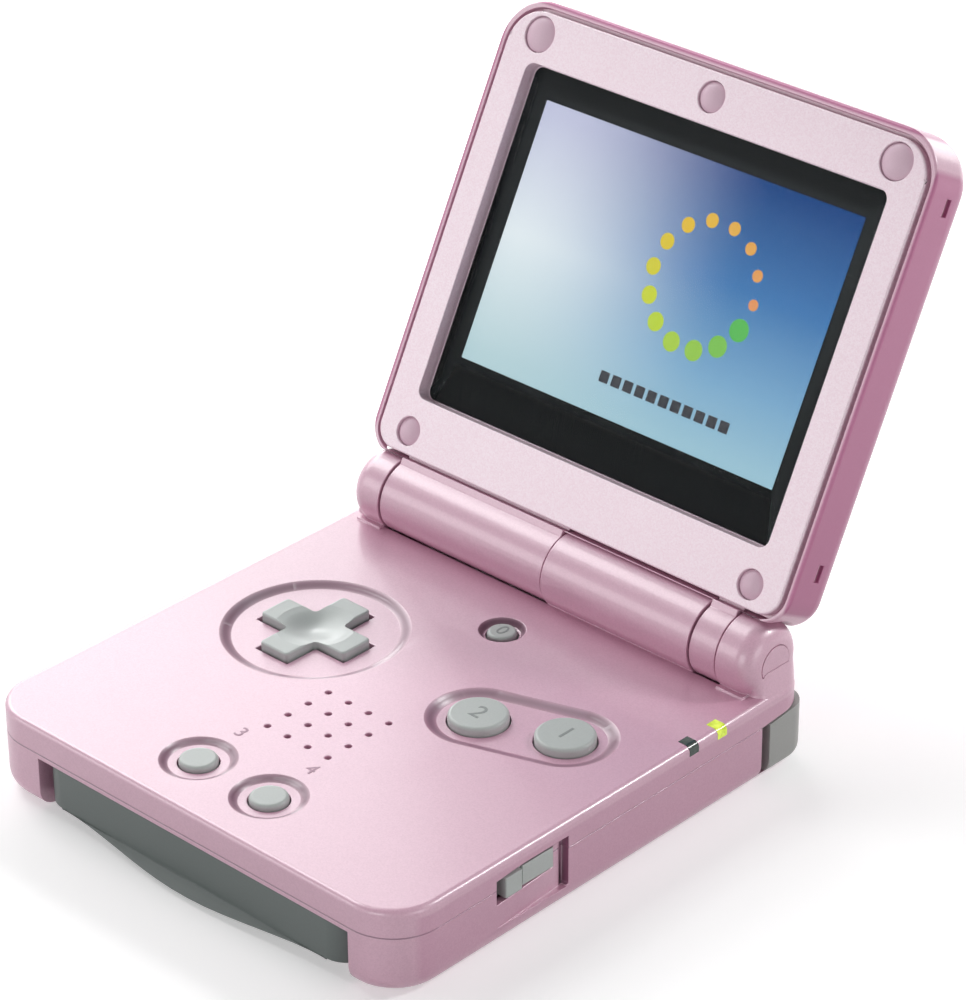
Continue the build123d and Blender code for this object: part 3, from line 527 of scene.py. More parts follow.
# ---------------------------------------------------------------- mesh helpers
def plain_mesh(name, shaped):
    """The shaped object's evaluated mesh as a new object with no modifiers; the shaped one is removed."""
    depsgraph = bpy.context.evaluated_depsgraph_get()
    mesh = bpy.data.meshes.new_from_object(shaped.evaluated_get(depsgraph), preserve_all_data_layers=True, depsgraph=depsgraph)
    mesh.name = name
    made = bpy.data.objects.new(name, mesh)
    bpy.context.scene.collection.objects.link(made)
    old = shaped.data
    bpy.data.objects.remove(shaped)
    bpy.data.batch_remove([old])
    return made


def flat_regions(shape):
    """Groups of neighbouring faces that lie in one plane."""
    seen = set()
    regions = []
    for first in shape.faces:
        if first in seen:
            continue
        seen.add(first)
        group, waiting = [first], [first]
        while waiting:
            face = waiting.pop()
            for edge in face.edges:
                for other in edge.link_faces:
                    if other not in seen and other.normal.dot(first.normal) > FLAT_COSINE:
                        seen.add(other)
                        group.append(other)
                        waiting.append(other)
        regions.append(group)
    return regions


def outline_loops(faces):
    """The separate closed outlines of a flat group of faces, each as a set of edges."""
    inside = set(faces)
    border = {e for f in faces for e in f.edges if sum(g in inside for g in e.link_faces) == 1}
    loops = []
    while border:
        loop, waiting = set(), [border.pop()]
        while waiting:
            edge = waiting.pop()
            loop.add(edge)
            for vert in edge.verts:
                for other in vert.link_edges:
                    if other in border:
                        border.discard(other)
                        waiting.append(other)
        loops.append(loop)
    return loops


def middle_of(edges):
    points = [v.co for e in edges for v in e.verts]
    return sum(points, Vector()) / len(points)


def cut_faces(shape, faces, place, across):
    """Cuts a flat group of faces along a plane, marks the cut as a seam and returns the group's new faces."""
    parts = {*faces, *(e for f in faces for e in f.edges), *(v for f in faces for v in f.verts)}
    made = bmesh.ops.bisect_plane(shape, geom=list(parts), dist=1e-8, plane_co=place, plane_no=across)
    for item in made["geom_cut"]:
        if isinstance(item, bmesh.types.BMEdge):
            item.seam = True
    return [item for item in made["geom"] if isinstance(item, bmesh.types.BMFace)]


def cut_rings(shape):
    """Cuts flat groups of faces that run round a hole, so that no merged face has a hole in it."""
    for faces in flat_regions(shape):
        if len(faces) < 3:
            continue
        normal = faces[0].normal.copy()
        across = Vector((0, 1, 0)) if abs(normal.x) > 0.9 else Vector((1, 0, 0))
        loops = outline_loops(faces)
        middles = [middle_of(loop) for loop in loops]
        reach = [
            max((v.co - middle).length for e in loop for v in e.verts) for loop, middle in zip(loops, middles)
        ]
        outer = reach.index(max(reach))
        if len(loops) == 1 and sum(f.calc_area() for f in faces) < 0.2 * reach[outer] ** 2:
            faces = cut_faces(shape, faces, middles[outer], across)
            cut_faces(shape, faces, middles[outer], across.cross(normal))
        for index, middle in enumerate(middles):
            if index != outer:
                faces = cut_faces(shape, faces, middle, across)


def moulded_copy(node, rounding, sharp_deg=40.0, reshape=None, share=None):
    """A CAD piece with its triangles merged into whole faces and its sharp edges rounded off.

    reshape(place) may move a point, and share(edge) may give the part of the rounding that an edge gets.
    """
    shape = bmesh.new()
    shape.from_mesh(frame["nodes"][node].data)
    bmesh.ops.remove_doubles(shape, verts=shape.verts, dist=0.0005 * MM)
    if reshape:
        for vert in shape.verts:
            reshape(vert.co)
    shape.normal_update()
    cut_rings(shape)
    bmesh.ops.dissolve_limit(
        shape, angle_limit=radians(FLAT_DEG), verts=shape.verts, edges=shape.edges, delimit={"SEAM"}
    )
    shape.normal_update()
    weight = shape.edges.layers.float.new("bevel_weight_edge")
    for edge in shape.edges:
        if len(edge.link_faces) == 2 and edge.calc_face_angle(0) > radians(sharp_deg):
            edge[weight] = share(edge) if share else 1.0
    mesh = bpy.data.meshes.new(node + "_moulded")
    shape.to_mesh(mesh)
    shape.free()
    for polygon in mesh.polygons:
        polygon.use_smooth = True
    shaped = bpy.data.objects.new(node + "_shaped", mesh)
    bpy.context.scene.collection.objects.link(shaped)
    bevel = shaped.modifiers.new("rounding", "BEVEL")
    bevel.limit_method = "WEIGHT"
    bevel.width = rounding
    bevel.segments = 2
    bevel.use_clamp_overlap = False
    normals = shaped.modifiers.new("face_normals", "WEIGHTED_NORMAL")
    normals.keep_sharp = False
    normals.weight = 100
    return plain_mesh(node + "_moulded", shaped)


def lid_limits(node):
    """A node's lowest and highest corner in the lid's own axes, in metres."""
    into_lid = LID_TO_WORLD.inverted()
    corners = [into_lid @ v.co for v in frame["nodes"][node].data.vertices]
    low = Vector([min(c[i] for c in corners) for i in range(3)])
    high = Vector([max(c[i] for c in corners) for i in range(3)])
    return low, high


def add_domed_plug(shape, middle, radius, bottom, rim, top):
    """Adds a round plug with a domed top to a mesh, along the Z axis."""
    sides, steps = 44, 9
    profile = [(radius, bottom)]
    for step in range(steps):
        share = step / steps
        profile.append((radius * (1 - share), rim + (top - rim) * (1 - (1 - share) ** 2) ** 0.8))
    rings = [
        [
            shape.verts.new(middle + Vector((reach * cos(2 * pi * k / sides), reach * sin(2 * pi * k / sides), height)))
            for k in range(sides)
        ]
        for reach, height in profile
    ]
    for lower, upper in zip(rings, rings[1:]):
        for k in range(sides):
            shape.faces.new((lower[k - 1], lower[k], upper[k], upper[k - 1]))
    crown = shape.verts.new(middle + Vector((0, 0, top)))
    for k in range(sides):
        shape.faces.new((rings[-1][k - 1], rings[-1][k], crown))
    shape.faces.new(rings[0][::-1])


def new_geometry_tree(name, sizes):
    """A Geometry Nodes tree with one named input for each (label, socket kind, default)."""
    tree = bpy.data.node_groups.new(name, "GeometryNodeTree")
    tree.interface.new_socket("Geometry", in_out="OUTPUT", socket_type="NodeSocketGeometry")
    for label, kind, default in sizes:
        tree.interface.new_socket(label, in_out="INPUT", socket_type=kind).default_value = default
    return tree, tree.nodes.new("NodeGroupInput").outputs


def end_tree(tree, instances, material):
    """Turns the instances into real mesh, gives them their material and ends the tree."""
    real = add_node(tree, "GeometryNodeRealizeInstances", {"Geometry": instances})
    finish = add_node(
        tree, "GeometryNodeSetMaterial", {"Geometry": real.outputs["Geometry"], "Material": material}
    )
    add_node(tree, "NodeGroupOutput", {"Geometry": finish.outputs["Geometry"]})


def row_tree(material):
    """Equal blocks in a straight row along X, centred on the origin."""
    tree, size = new_geometry_tree(
        "block row",
        (
            ("Count", "NodeSocketInt", 6),
            ("Pitch", "NodeSocketFloat", 2 * MM),
            ("Block Size", "NodeSocketVector", (MM, MM, MM)),
        ),
    )
    gaps = math_node(tree, "SUBTRACT", size["Count"], 1.0)
    length = math_node(tree, "MULTIPLY", gaps, size["Pitch"])
    start = add_node(tree, "ShaderNodeCombineXYZ", {"X": math_node(tree, "MULTIPLY", length, -0.5)})
    step = add_node(tree, "ShaderNodeCombineXYZ", {"X": size["Pitch"]})
    line = add_node(
        tree,
        "GeometryNodeMeshLine",
        {"Count": size["Count"], "Start Location": start.outputs[0], "Offset": step.outputs[0]},
        mode="OFFSET",
    )
    block = add_node(tree, "GeometryNodeMeshCube", {"Size": size["Block Size"]})
    placed = add_node(
        tree,
        "GeometryNodeInstanceOnPoints",
        {"Points": line.outputs["Mesh"], "Instance": block.outputs["Mesh"]},
    )
    end_tree(tree, placed.outputs["Instances"], material)
    return tree


def ring_tree(material):
    """Dots round a ring that grow along it, each with its own shade from 0 to 1."""
    tree, size = new_geometry_tree(
        "dot ring",
        (
            ("Count", "NodeSocketInt", 12),
            ("Ring Radius", "NodeSocketFloat", 9 * MM),
            ("Dot Radius", "NodeSocketFloat", 1.5 * MM),
            ("Thickness", "NodeSocketFloat", 0.03 * MM),
            ("Smallest", "NodeSocketFloat", 0.5),
        ),
    )
    ring = add_node(tree, "GeometryNodeMeshCircle", {"Vertices": size["Count"], "Radius": size["Ring Radius"]})
    dot = add_node(
        tree,
        "GeometryNodeMeshCylinder",
        {"Vertices": 28, "Radius": size["Dot Radius"], "Depth": size["Thickness"]},
    )
    index = add_node(tree, "GeometryNodeInputIndex").outputs[0]
    last = math_node(tree, "SUBTRACT", size["Count"], 1.0)
    share = math_node(tree, "DIVIDE", index, last)
    growth = add_node(tree, "ShaderNodeMapRange", {"Value": share, "To Min": size["Smallest"], "To Max": 1.0})
    wide = add_node(
        tree, "ShaderNodeCombineXYZ", {"X": growth.outputs[0], "Y": growth.outputs[0], "Z": 1.0}
    )
    placed = add_node(
        tree,
        "GeometryNodeInstanceOnPoints",
        {"Points": ring.outputs["Mesh"], "Instance": dot.outputs["Mesh"], "Scale": wide.outputs[0]},
    )
    shaded = add_node(
        tree,
        "GeometryNodeStoreNamedAttribute",
        {"Geometry": placed.outputs["Instances"], "Name": "shade", "Value": share},
        data_type="FLOAT",
        domain="INSTANCE",
    )
    end_tree(tree, shaded.outputs["Geometry"], material)
    return tree


def grown_mesh(name, tree, place, **sizes):
    """The mesh that a Geometry Nodes tree makes with these sizes, moved to its place by a matrix."""
    shaped = bpy.data.objects.new(name + "_grown", bpy.data.meshes.new(name + "_seed"))
    bpy.context.scene.collection.objects.link(shaped)
    modifier = shaped.modifiers.new("growth", "NODES")
    modifier.node_group = tree
    for item in tree.interface.items_tree:
        key = item.name.replace(" ", "_").lower()
        if item.in_out == "INPUT" and key in sizes:
            modifier[item.identifier] = sizes[key]
    piece = plain_mesh(name, shaped)
    piece.data.transform(place)
    return piece


def numeral(text, height, relief, place, material):
    """A plain numeral in low relief, its middle at the place and its top towards the hinge."""
    curve = bpy.data.curves.new("numeral_" + text, "FONT")
    curve.body = text
    curve.size = height / 0.7
    curve.extrude = relief / 2
    curve.resolution_u = 6
    curve.align_x = "CENTER"
    curve.align_y = "CENTER"
    shaped = bpy.data.objects.new("numeral_curve", curve)
    bpy.context.scene.collection.objects.link(shaped)
    piece = plain_mesh("numeral_" + text, shaped)
    shape = bmesh.new()
    shape.from_mesh(piece.data)
    bmesh.ops.remove_doubles(shape, verts=shape.verts, dist=0.0005 * MM)
    bmesh.ops.recalc_face_normals(shape, faces=shape.faces)
    bmesh.ops.translate(shape, verts=shape.verts, vec=place)
    shape.to_mesh(piece.data)
    shape.free()
    use_material([piece], material)
    return piece


def stand_for(piece, body, slot, *nodes):
    """Rides the piece on its body in the place of CAD nodes."""
    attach(piece, body)
    if nodes:
        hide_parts(*nodes)


# ---------------------------------------------------------------- settings
class ShellSettings(bpy.types.PropertyGroup):
    pale: bpy.props.FloatVectorProperty(
        name="Pale Tone", description="Colour of the lacquer where flakes gather", subtype="COLOR", size=3,
        default=hex_colour("#D09EB5")[:3],
    )
    deep: bpy.props.FloatVectorProperty(
        name="Deep Tone", description="Colour of the lacquer between the flakes", subtype="COLOR", size=3,
        default=hex_colour("#C490A8")[:3],
    )
    # painted shade: the darker colour laid on the dish walls and in the grooves
    painted_shade: bpy.props.FloatVectorProperty(
        name="Bare Tone", description="Colour of the lacquer where few flakes settle", subtype="COLOR", size=3,
        default=hex_colour("#84526C")[:3],
    )
    # painted shade: the deeper pink laid on the side walls
    painted_side_shade: bpy.props.FloatVectorProperty(
        name="Gathered Tone", description="Colour of the lacquer on the lid's side walls", subtype="COLOR",
        size=3, default=hex_colour("#893061")[:3],
    )
    dish_relief: bpy.props.FloatProperty(
        name="Dish Relief", description="Extra depth that the walls of the key dishes shade with",
        default=1.2 * MM, unit="LENGTH", precision=5,
    )
    # painted light: paler copies of the shell tones, which make the lid frame look more brightly lit
    frame_pale: bpy.props.FloatVectorProperty(
        name="Lid Frame Pale Tone", description="Colour of the lid frame's lacquer where flakes gather",
        subtype="COLOR", size=3, default=hex_colour("#F3DEE9")[:3],
    )
    frame_deep_painted_light: bpy.props.FloatVectorProperty(
        name="Lid Frame Deep Tone", description="Colour of the lid frame's lacquer between the flakes",
        subtype="COLOR", size=3, default=hex_colour("#E8C8D7")[:3],
    )
    rounding: bpy.props.FloatProperty(
        name="Edge Rounding", description="Radius left on moulded edges", default=0.12 * MM, unit="LENGTH",
        precision=5,
    )


class CoverSettings(bpy.types.PropertyGroup):
    rise: bpy.props.FloatProperty(
        name="Cover Rise", description="Height of a screw cover's dome above its rim", default=0.6 * MM,
        unit="LENGTH", precision=5,
    )


class KeySettings(bpy.types.PropertyGroup):
    numeral_height: bpy.props.FloatProperty(
        name="Numeral Height", description="Height of the numerals on the action buttons", default=3.0 * MM,
        unit="LENGTH", precision=5,
    )
    label_height: bpy.props.FloatProperty(
        name="Label Height", description="Height of the numerals beside the small keys", default=2.3 * MM,
        unit="LENGTH", precision=5,
    )
    hollow_radius: bpy.props.FloatProperty(
        name="Hollow Radius", description="Radius of the thumb hollow in the direction pad",
        default=5.0 * MM, unit="LENGTH", precision=5,
    )
    hollow_depth: bpy.props.FloatProperty(
        name="Hollow Depth", description="Depth that the thumb hollow shades as", default=0.9 * MM,
        unit="LENGTH", precision=5,
    )


class DisplaySettings(bpy.types.PropertyGroup):
    level: bpy.props.FloatProperty(
        name="Picture Level", description="Strength of the lit picture, where 1 shows colours as written",
        default=1.0, min=0.0,
    )
    dots: bpy.props.IntProperty(name="Dots", description="Dots in the picture's ring", default=14, min=3)
    ring_radius: bpy.props.FloatProperty(
        name="Ring Radius", description="Radius of the ring of dots", default=9.5 * MM, unit="LENGTH",
        precision=5,
    )
    dot_radius: bpy.props.FloatProperty(
        name="Dot Radius", description="Radius of the largest dot", default=1.7 * MM, unit="LENGTH",
        precision=5,
    )


class StageSettings(bpy.types.PropertyGroup):
    lamp_level: bpy.props.FloatProperty(
        name="Lamp Level", description="Share of the studio lamps' power", default=1.0, min=0.0,
    )


# ---------------------------------------------------------------- operators
class HANDHELD_OT_shells(bpy.types.Operator):
    """Lacquers the base and lid shells, battery door and hinge caps, and rounds their moulded edges"""

    bl_idname = "handheld.shells"
    bl_label = "Lacquered Shells"

    def execute(self, context):
        settings = context.scene.handheld_shells
        tones = (settings.pale, settings.deep)
        seam = 9.3 * MM
        lacquer = pearl_lacquer("pearl lacquer", settings, *tones)
        below = pearl_lacquer("pearl lacquer with a parting line", settings, *tones, (), seam)
        dished = pearl_lacquer("pearl lacquer on the dished top", settings, *tones, key_dishes(), seam)
        lid_size = lid_limits("lid_outer_shell")[1]
        outer = pearl_lacquer(
            "pearl lacquer with deep sides", settings, *tones, outline=(lid_size.x, lid_size.y)
        )
        # the lid frame gets a paler copy of the lacquer as painted light
        painted_light_lacquer = pearl_lacquer("pearl lacquer with painted light", settings, settings.frame_pale, settings.frame_deep_painted_light)
        for node, body, coat in (
            ("upper_base_shell", "base", dished),
            ("lower_base_shell", "base", below),
            ("battery_door", "base", lacquer),
            ("lid_outer_shell", "lid", outer),
            ("lid_inner_shell", "lid", painted_light_lacquer),
        ):
            piece = moulded_copy(node, settings.rounding)
            use_material([piece], coat)
            stand_for(piece, body, "pearl_shell", node)
        dress(lacquer, "hinge_cap_right", "hinge_cap_left")
        return {"FINISHED"}


def key_dishes():
    """The dishes round the keys, placed by the keys in them: middle, turn, half length, floor, rim."""

    def middle_of_key(node):
        low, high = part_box(node)
        return Vector(((low.x + high.x) / 2, (low.y + high.y) / 2, 0))

    first, last = middle_of_key("button_b"), middle_of_key("button_a")
    run = last - first
    dishes = [((first + last) / 2, atan(run.y / run.x), run.length / 2, 5.9 * MM, 7.7 * MM)]
    for node, floor, rim in (
        ("dpad", 12.3, 14.05),
        ("select_button", 4.3, 5.6),
        ("start_button", 4.3, 5.6),
        ("light_button", 2.75, 3.5),
    ):
        dishes.append((middle_of_key(node), 0.0, 0.0, floor * MM, rim * MM))
    return dishes


class HANDHELD_OT_screw_covers(bpy.types.Operator):
    """Finishes the domed covers over the lid screws"""

    bl_idname = "handheld.screw_covers"
    bl_label = "Screw Covers"

    def execute(self, context):
        settings = context.scene.handheld_covers
        rubber = moulded_plastic("pink silicone rubber", "#E2C2D2", 0.4, grit_mm=0.2, relief=0.08)
        for node in ("top_screw_covers", "middle_screw_cover", "bottom_screw_covers"):
            low, high = lid_limits(node)
            radius = (high.y - low.y) / 2
            places = {low.x + radius, high.x - radius}
            if max(places) - min(places) < radius:
                places = {(low.x + high.x) / 2}
            shape = bmesh.new()
            for x in sorted(places):
                middle = Vector((x, low.y + radius, 0))
                add_domed_plug(shape, middle, radius, low.z, high.z - settings.rise, high.z)
            bmesh.ops.transform(shape, matrix=LID_TO_WORLD, verts=shape.verts)
            bmesh.ops.recalc_face_normals(shape, faces=shape.faces)
            mesh = bpy.data.meshes.new(node + "_domed")
            shape.to_mesh(mesh)
            shape.free()
            for polygon in mesh.polygons:
                polygon.use_smooth = True
            mesh.set_sharp_from_angle(angle=radians(50))
            piece = bpy.data.objects.new(node + "_domed", mesh)
            context.scene.collection.objects.link(piece)
            use_material([piece], rubber)
            stand_for(piece, "lid", "screw_cover", node)
        return {"FINISHED"}


class HANDHELD_OT_keys(bpy.types.Operator):
    """Finishes the direction pad, buttons, sliders, shoulder buttons and game card"""

    bl_idname = "handheld.keys"
    bl_label = "Keys"

    def execute(self, context):
        settings = context.scene.handheld_keys
        grey = moulded_plastic("light grey ABS", "#B7BDBA", 0.36)
        dress(grey, "button_a", "button_b", "start_button", "select_button", "light_button")
        low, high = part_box("dpad")
        middle = (low + high) / 2
        pad = hollowed_plastic(
            "light grey ABS with a thumb hollow", "#BAC1BE", 0.36, middle, settings.hollow_radius,
            settings.hollow_depth,
        )
        dress(pad, "dpad")
        shoulder = moulded_plastic("mid grey ABS", "#A3A4A1", 0.4)
        card = moulded_plastic("dark grey ABS", "#646C6A", 0.42)
        for node, material, slot in (
            ("power_slider", grey, "key_plastic"),
            ("volume_slider", grey, "key_plastic"),
            ("shoulder_button_left", shoulder, "shoulder_plastic"),
            ("shoulder_button_right", shoulder, "shoulder_plastic"),
        ):
            piece = moulded_copy(node, 0.1 * MM)
            use_material([piece], material)
            stand_for(piece, node, slot, node)
        piece = moulded_copy("game_card", 0.15 * MM, 40.0, *card_lip())
        use_material([piece], card)
        stand_for(piece, "card", "card_plastic", "game_card")
        return {"FINISHED"}


def card_lip():
    """The reshape and share functions that draw the card's lip in towards its ends, for moulded_copy.

    The lip then leaves the card's flat face in one smooth curve.
    """
    low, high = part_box("game_card")
    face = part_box("upper_base_shell")[0].y + 0.2 * MM
    corner, bottom = 4 * MM, 2 * MM
    left, length = low.x + corner, high.x - low.x - 2 * corner

    def place_along(x):
        return min(1.0, max(0.0, (x - left) / length))

    def ease(x):
        return max(0.0, sin(pi * place_along(x))) ** 1.8

    def reshape(place):
        along = place_along(place.x)
        if place.z < bottom:
            place.z = bottom - (bottom - place.z) * max(ease(place.x), 0.02)
        if place.y < face and 0 < along < 1:
            place.y = face - (face - place.y) * ease(place.x) / (4 * along * (1 - along))

    def share(edge):
        middle = (edge.verts[0].co + edge.verts[1].co) / 2
        return ease(middle.x) if middle.z < bottom - 0.01 * MM else 1.0

    return reshape, share


class HANDHELD_OT_numerals(bpy.types.Operator):
    """Puts a plain number in low relief on or beside each key"""

    bl_idname = "handheld.numerals"
    bl_label = "Key Numerals"

    def execute(self, context):
        settings = context.scene.handheld_keys
        ink = moulded_plastic("grey relief numerals", "#8C9290", 0.45, grit_mm=0.15)
        relief = 0.08 * MM
        for text, node in (("1", "button_a"), ("2", "button_b")):
            low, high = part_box(node)
            place = Vector(((low.x + high.x) / 2, (low.y + high.y) / 2, high.z))
            stand_for(numeral(text, settings.numeral_height, relief, place, ink), node, "key_plastic")
        low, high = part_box("light_button")
        place = Vector(((low.x + high.x) / 2, (low.y + high.y) / 2, high.z))
        stand_for(numeral("0", settings.label_height, relief, place, ink), "light_button", "key_plastic")
        print_tone = moulded_plastic("mauve relief numerals", "#B08C9E", 0.5, grit_mm=0.15)
        for text, node in (("3", "select_button"), ("4", "start_button")):
            low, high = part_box(node)
            place = Vector(((low.x + high.x) / 2 - 0.5 * MM, (low.y + high.y) / 2 + 8.6 * MM, SHELL_TOP))
            stand_for(numeral(text, settings.label_height, relief, place, print_tone), "base", "pearl_shell")
        return {"FINISHED"}


class HANDHELD_OT_display(bpy.types.Operator):
    """Makes the lens, its printed border and the lit picture with its ring of dots"""

    bl_idname = "handheld.display"
    bl_label = "Display"

    def execute(self, context):
        settings = context.scene.handheld_display
        dress(black_border_film(), "lens_border")
        dress(clear_acrylic("clear acrylic", 0.02), "screen_lens")
        dress(clear_acrylic("clear acrylic light guide", 0.0), "light_guide")
        dress(lit_picture(settings), "lcd_panel")
        low, high = lid_limits("lcd_panel")
        back_of_guide = lid_limits("light_guide")[0].z
        middle = (low + high) / 2
        level = (high.z + back_of_guide) / 2
        centre = Vector((middle.x + 7 * MM, middle.y + 3 * MM, level))
        ring = grown_mesh(
            "display_dots",
            ring_tree(lit_dots(settings)),
            LID_TO_WORLD @ Matrix.Translation(centre),
            count=settings.dots,
            ring_radius=settings.ring_radius,
            dot_radius=settings.dot_radius,
            thickness=0.03 * MM,
        )
        stand_for(ring, "lid", "display")
        bar_ink = moulded_plastic("dark display pixels", "#1C2230", 0.5, grit_mm=0.2)
        under = Vector((middle.x + 7 * MM, low.y + 7.5 * MM, level))
        bar = grown_mesh(
            "display_bar",
            row_tree(bar_ink),
            LID_TO_WORLD @ Matrix.Translation(under),
            count=11,
            pitch=2.3 * MM,
            block_size=(1.7 * MM, 1.7 * MM, 0.03 * MM),
        )
        stand_for(bar, "lid", "display")
        return {"FINISHED"}


class HANDHELD_OT_light_pipes(bpy.types.Operator):
    """Finishes the lit and the dark indicator beside the hinge"""

    bl_idname = "handheld.light_pipes"
    bl_label = "Light Pipes"

    def execute(self, context):
        dress(light_pipe("lit tinted styrene", "#A4B820", "#CFE050", 0.6), "power_light_pipe")
        dress(light_pipe("smoked styrene", "#2C3A34", "#3A4A42", 0.0), "charge_light_pipe")
        return {"FINISHED"}


class HANDHELD_OT_socket_contacts(bpy.types.Operator):
    """Puts gilt contacts in the link and power sockets"""

    bl_idname = "handheld.socket_contacts"
    bl_label = "Socket Contacts"

    def execute(self, context):
        gilt = brushed_steel("gilt contact metal", "#E2B866", 0.25)
        row = row_tree(gilt)
        for node, count, pitch in (("link_socket", 6, 1.3 * MM), ("power_socket", 3, 2.0 * MM)):
            low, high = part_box(node)
            middle = (low + high) / 2
            piece = grown_mesh(
                node + "_contacts",
                row,
                Matrix.Translation(Vector((middle.x, middle.y, middle.z + 0.1 * MM))),
                count=count,
                pitch=pitch,
                block_size=(0.5 * MM, (high.y - low.y) * 0.7, 0.4 * MM),
            )
            stand_for(piece, "base", "steel")
        return {"FINISHED"}


class HANDHELD_OT_inner_pieces(bpy.types.Operator):
    """Finishes the pieces inside the base and the hinge"""

    bl_idname = "handheld.inner_pieces"
    bl_label = "Inner Pieces"

    def execute(self, context):
        steel = brushed_steel("turned steel", "#B4B4B8", 0.3)
        dark = moulded_plastic("black glass-filled nylon", "#1E1E20", 0.5, grit_mm=0.4, tone=0.15)
        rubber = moulded_plastic("translucent silicone", "#D6D6D0", 0.6, grit_mm=0.25, relief=0.08)
        case = moulded_plastic("dark polycarbonate case", "#3A3C40", 0.45)
        by_slot = {
            "key_rubber": rubber,
            "dark_plastic": dark,
            "battery_case": case,
            "board": solder_resist(),
            "ribbon_film": ribbon_film(),
            "steel": steel,
        }
        for part in frame["record"]["subparts"]:
            if part["material_slot"] in by_slot:
                dress(by_slot[part["material_slot"]], part["node"])
        return {"FINISHED"}


class HANDHELD_OT_stage(bpy.types.Operator):
    """Sets up the pale floor, the soft studio light and the camera"""

    bl_idname = "handheld.stage"
    bl_label = "Studio"

    def execute(self, context):
        add_floor()
        add_light(context.scene.handheld_stage.lamp_level)
        add_camera()
        context.scene.view_settings.view_transform = "Standard"
        return {"FINISHED"}


OBJECT_MIDDLE = Vector((0, 0, 0.03))
WORLD_LIGHT = 0.1
# name, azimuth and elevation in degrees, size in metres, power in watts
LAMPS = (
    ("right", 357, 12, (0.4, 0.32), 0.9),
    ("right_back", 50, 37, (0.12, 0.12), 2.4),
    ("back", 95, 14, (0.4, 0.32), 1.2),
    ("left_back_low", 142, 11, (0.3, 0.2), 1.1),
    ("left_back", 150, 30, (0.4, 0.32), 1.2),
    ("left_low", 175, 25, (0.4, 0.32), 1.2),
    ("left_middle", 175, 38, (0.4, 0.32), 0.9),
    ("left_high", 178, 52, (0.4, 0.32), 1.8),
    ("left_front", 229, 16, (0.4, 0.32), 1.1),
    ("front", 283, 12, (0.4, 0.32), 1.2),
)


def add_floor():
    half = 1.5
    mesh = bpy.data.meshes.new("floor")
    low = -0.05 * MM
    corners = [(-half, -half, low), (half, -half, low), (half, half, low), (-half, half, low)]
    mesh.from_pydata(corners, [], [(0, 1, 2, 3)])
    floor = bpy.data.objects.new("floor", mesh)
    bpy.context.scene.collection.objects.link(floor)
    use_material([floor], pale_paper())
    floor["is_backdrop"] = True


def seen_directly(tree):
    """1 for rays that show the background itself: from the camera, in a reflection or through glass."""
    rays = add_node(tree, "ShaderNodeLightPath").outputs
    seen = math_node(tree, "MAXIMUM", rays["Is Camera Ray"], rays["Is Glossy Ray"])
    return math_node(tree, "MAXIMUM", seen, rays["Is Transmission Ray"])


def pale_paper():
    """White background paper: it takes the object's soft shadow and is lifted to white where it is seen."""
    material, tree, shader = new_material("pale paper", Roughness=0.9)
    place = object_place(tree)
    # paper fibres are a few hundredths of a millimetre long; they are drawn at half a millimetre
    fibre = add_node(tree, "ShaderNodeTexNoise", {"Vector": place, "Scale": 1 / (0.5 * MM)})
    tone = colour_ramp(tree, fibre.outputs["Fac"], [(0.3, "#E4E4E4"), (0.7, "#E7E7E7")])
    tree.links.new(tone, shader.inputs["Base Color"])
    # the lamps' light falls off away from the object, so the lift grows there
    away = add_node(tree, "ShaderNodeVectorMath", {0: place}, operation="LENGTH")
    lift = add_node(
        tree,
        "ShaderNodeMapRange",
        {"Value": away.outputs["Value"], "From Min": 0.06, "From Max": 0.4, "To Min": 0.38, "To Max": 1.0},
    )
    strength = math_node(tree, "MULTIPLY", seen_directly(tree), lift.outputs["Result"])
    tree.links.new(strength, shader.inputs["Emission Strength"])
    shader.inputs["Emission Color"].default_value = (1, 1, 1, 1)
    return material


def add_area_lamp(name, place, target, size, power):
    lamp = bpy.data.lights.new(name, "AREA")
    lamp.shape = "RECTANGLE"
    lamp.size, lamp.size_y = size
    lamp.energy = power
    made = bpy.data.objects.new(name, lamp)
    made.location = place
    made.rotation_mode = "QUATERNION"
    made.rotation_quaternion = (Vector(target) - Vector(place)).to_track_quat("-Z", "Y")
    bpy.context.scene.collection.objects.link(made)


def lamp_place(azimuth, elevation, distance):
    """A place at this azimuth and elevation in degrees, seen from the object's middle."""
    turn, rise = radians(azimuth), radians(elevation)
    return OBJECT_MIDDLE + distance * Vector((cos(turn) * cos(rise), sin(turn) * cos(rise), sin(rise)))


def add_light(level):
    world = bpy.data.worlds.new("studio")
    world.use_nodes = True
    tree = world.node_tree
    background = tree.nodes["Background"]
    background.inputs["Color"].default_value = (1, 1, 1, 1)
    shown = math_node(tree, "MULTIPLY", seen_directly(tree), 1 - WORLD_LIGHT)
    tree.links.new(math_node(tree, "ADD", shown, WORLD_LIGHT), background.inputs["Strength"])
    bpy.context.scene.world = world
    for name, azimuth, elevation, size, power in LAMPS:
        place = lamp_place(azimuth, elevation, 0.85)
        add_area_lamp(name, place, OBJECT_MIDDLE, size, power * level)


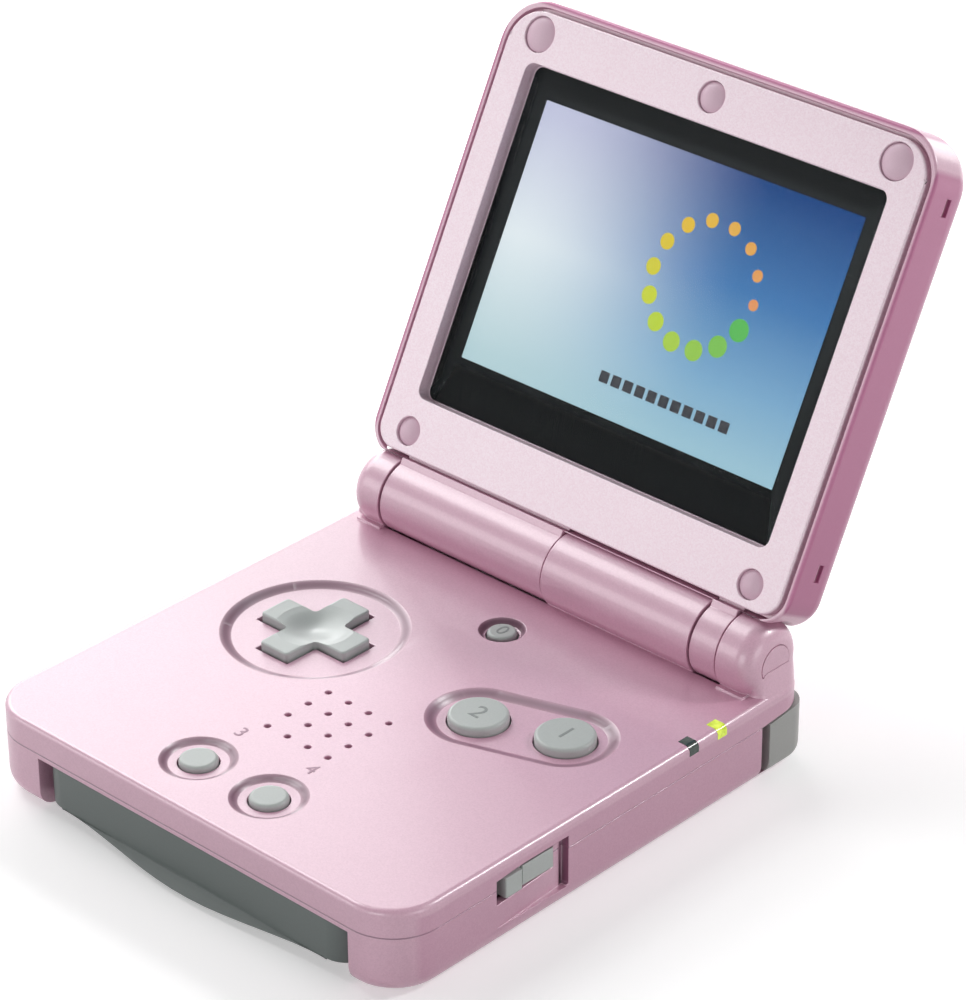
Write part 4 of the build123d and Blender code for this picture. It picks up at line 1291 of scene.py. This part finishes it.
def add_camera():
    """The photograph's view, worked out from the base's known size and its corners in the picture."""
    yaw, pitch, roll = radians(43.546), radians(29.278), radians(-0.395)
    back = Vector((sin(yaw) * cos(pitch), -cos(yaw) * cos(pitch), sin(pitch)))
    level_right = Vector((cos(yaw), sin(yaw), 0))
    level_up = back.cross(level_right)
    right = cos(roll) * level_right + sin(roll) * level_up
    up = -sin(roll) * level_right + cos(roll) * level_up
    data = bpy.data.cameras.new("camera")
    focal_pixels, frame_height_pixels = 4025.76, 1000
    data.lens = focal_pixels / frame_height_pixels * data.sensor_width
    data.clip_start, data.clip_end = 0.01, 10
    camera = bpy.data.objects.new("camera", data)
    place = Vector((0.34399, -0.34396, 0.3165))
    camera.matrix_world = Matrix.Translation(place) @ Matrix((right, up, back)).transposed().to_4x4()
    bpy.context.scene.collection.objects.link(camera)
    bpy.context.scene.camera = camera


# ---------------------------------------------------------------- panel and registration
PIECE_OPERATORS = (
    HANDHELD_OT_shells,
    HANDHELD_OT_screw_covers,
    HANDHELD_OT_keys,
    HANDHELD_OT_numerals,
    HANDHELD_OT_inner_pieces,
    HANDHELD_OT_socket_contacts,
    HANDHELD_OT_light_pipes,
    HANDHELD_OT_display,
    HANDHELD_OT_stage,
)


class HANDHELD_PT_panel(bpy.types.Panel):
    """Lists the steps that dress the console"""

    bl_idname = "HANDHELD_PT_panel"
    bl_label = "Handheld"
    bl_space_type = "VIEW_3D"
    bl_region_type = "UI"
    bl_category = "Handheld"

    def draw(self, context):
        for operator in PIECE_OPERATORS:
            self.layout.operator(operator.bl_idname)


SETTINGS = {
    "handheld_shells": ShellSettings,
    "handheld_covers": CoverSettings,
    "handheld_keys": KeySettings,
    "handheld_display": DisplaySettings,
    "handheld_stage": StageSettings,
}
CLASSES = (*SETTINGS.values(), *PIECE_OPERATORS, HANDHELD_PT_panel)


def register():
    for cls in CLASSES:
        bpy.utils.register_class(cls)
    for name, group in SETTINGS.items():
        setattr(bpy.types.Scene, name, bpy.props.PointerProperty(type=group))


def unregister():
    for name in SETTINGS:
        delattr(bpy.types.Scene, name)
    for cls in reversed(CLASSES):
        bpy.utils.unregister_class(cls)


def write_sizes():
    boxes = {"cad": CAD_BOX, "visual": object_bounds()}
    {name: [list(corner) for corner in box] for name, box in boxes.items()}


def main():
    register()
    bpy.ops.handheld.shells()
    bpy.ops.handheld.screw_covers()
    bpy.ops.handheld.keys()
    bpy.ops.handheld.numerals()
    bpy.ops.handheld.inner_pieces()
    bpy.ops.handheld.socket_contacts()
    bpy.ops.handheld.light_pipes()
    bpy.ops.handheld.display()
    bpy.ops.handheld.stage()
    write_sizes()


if __name__ == "__main__":
    main()
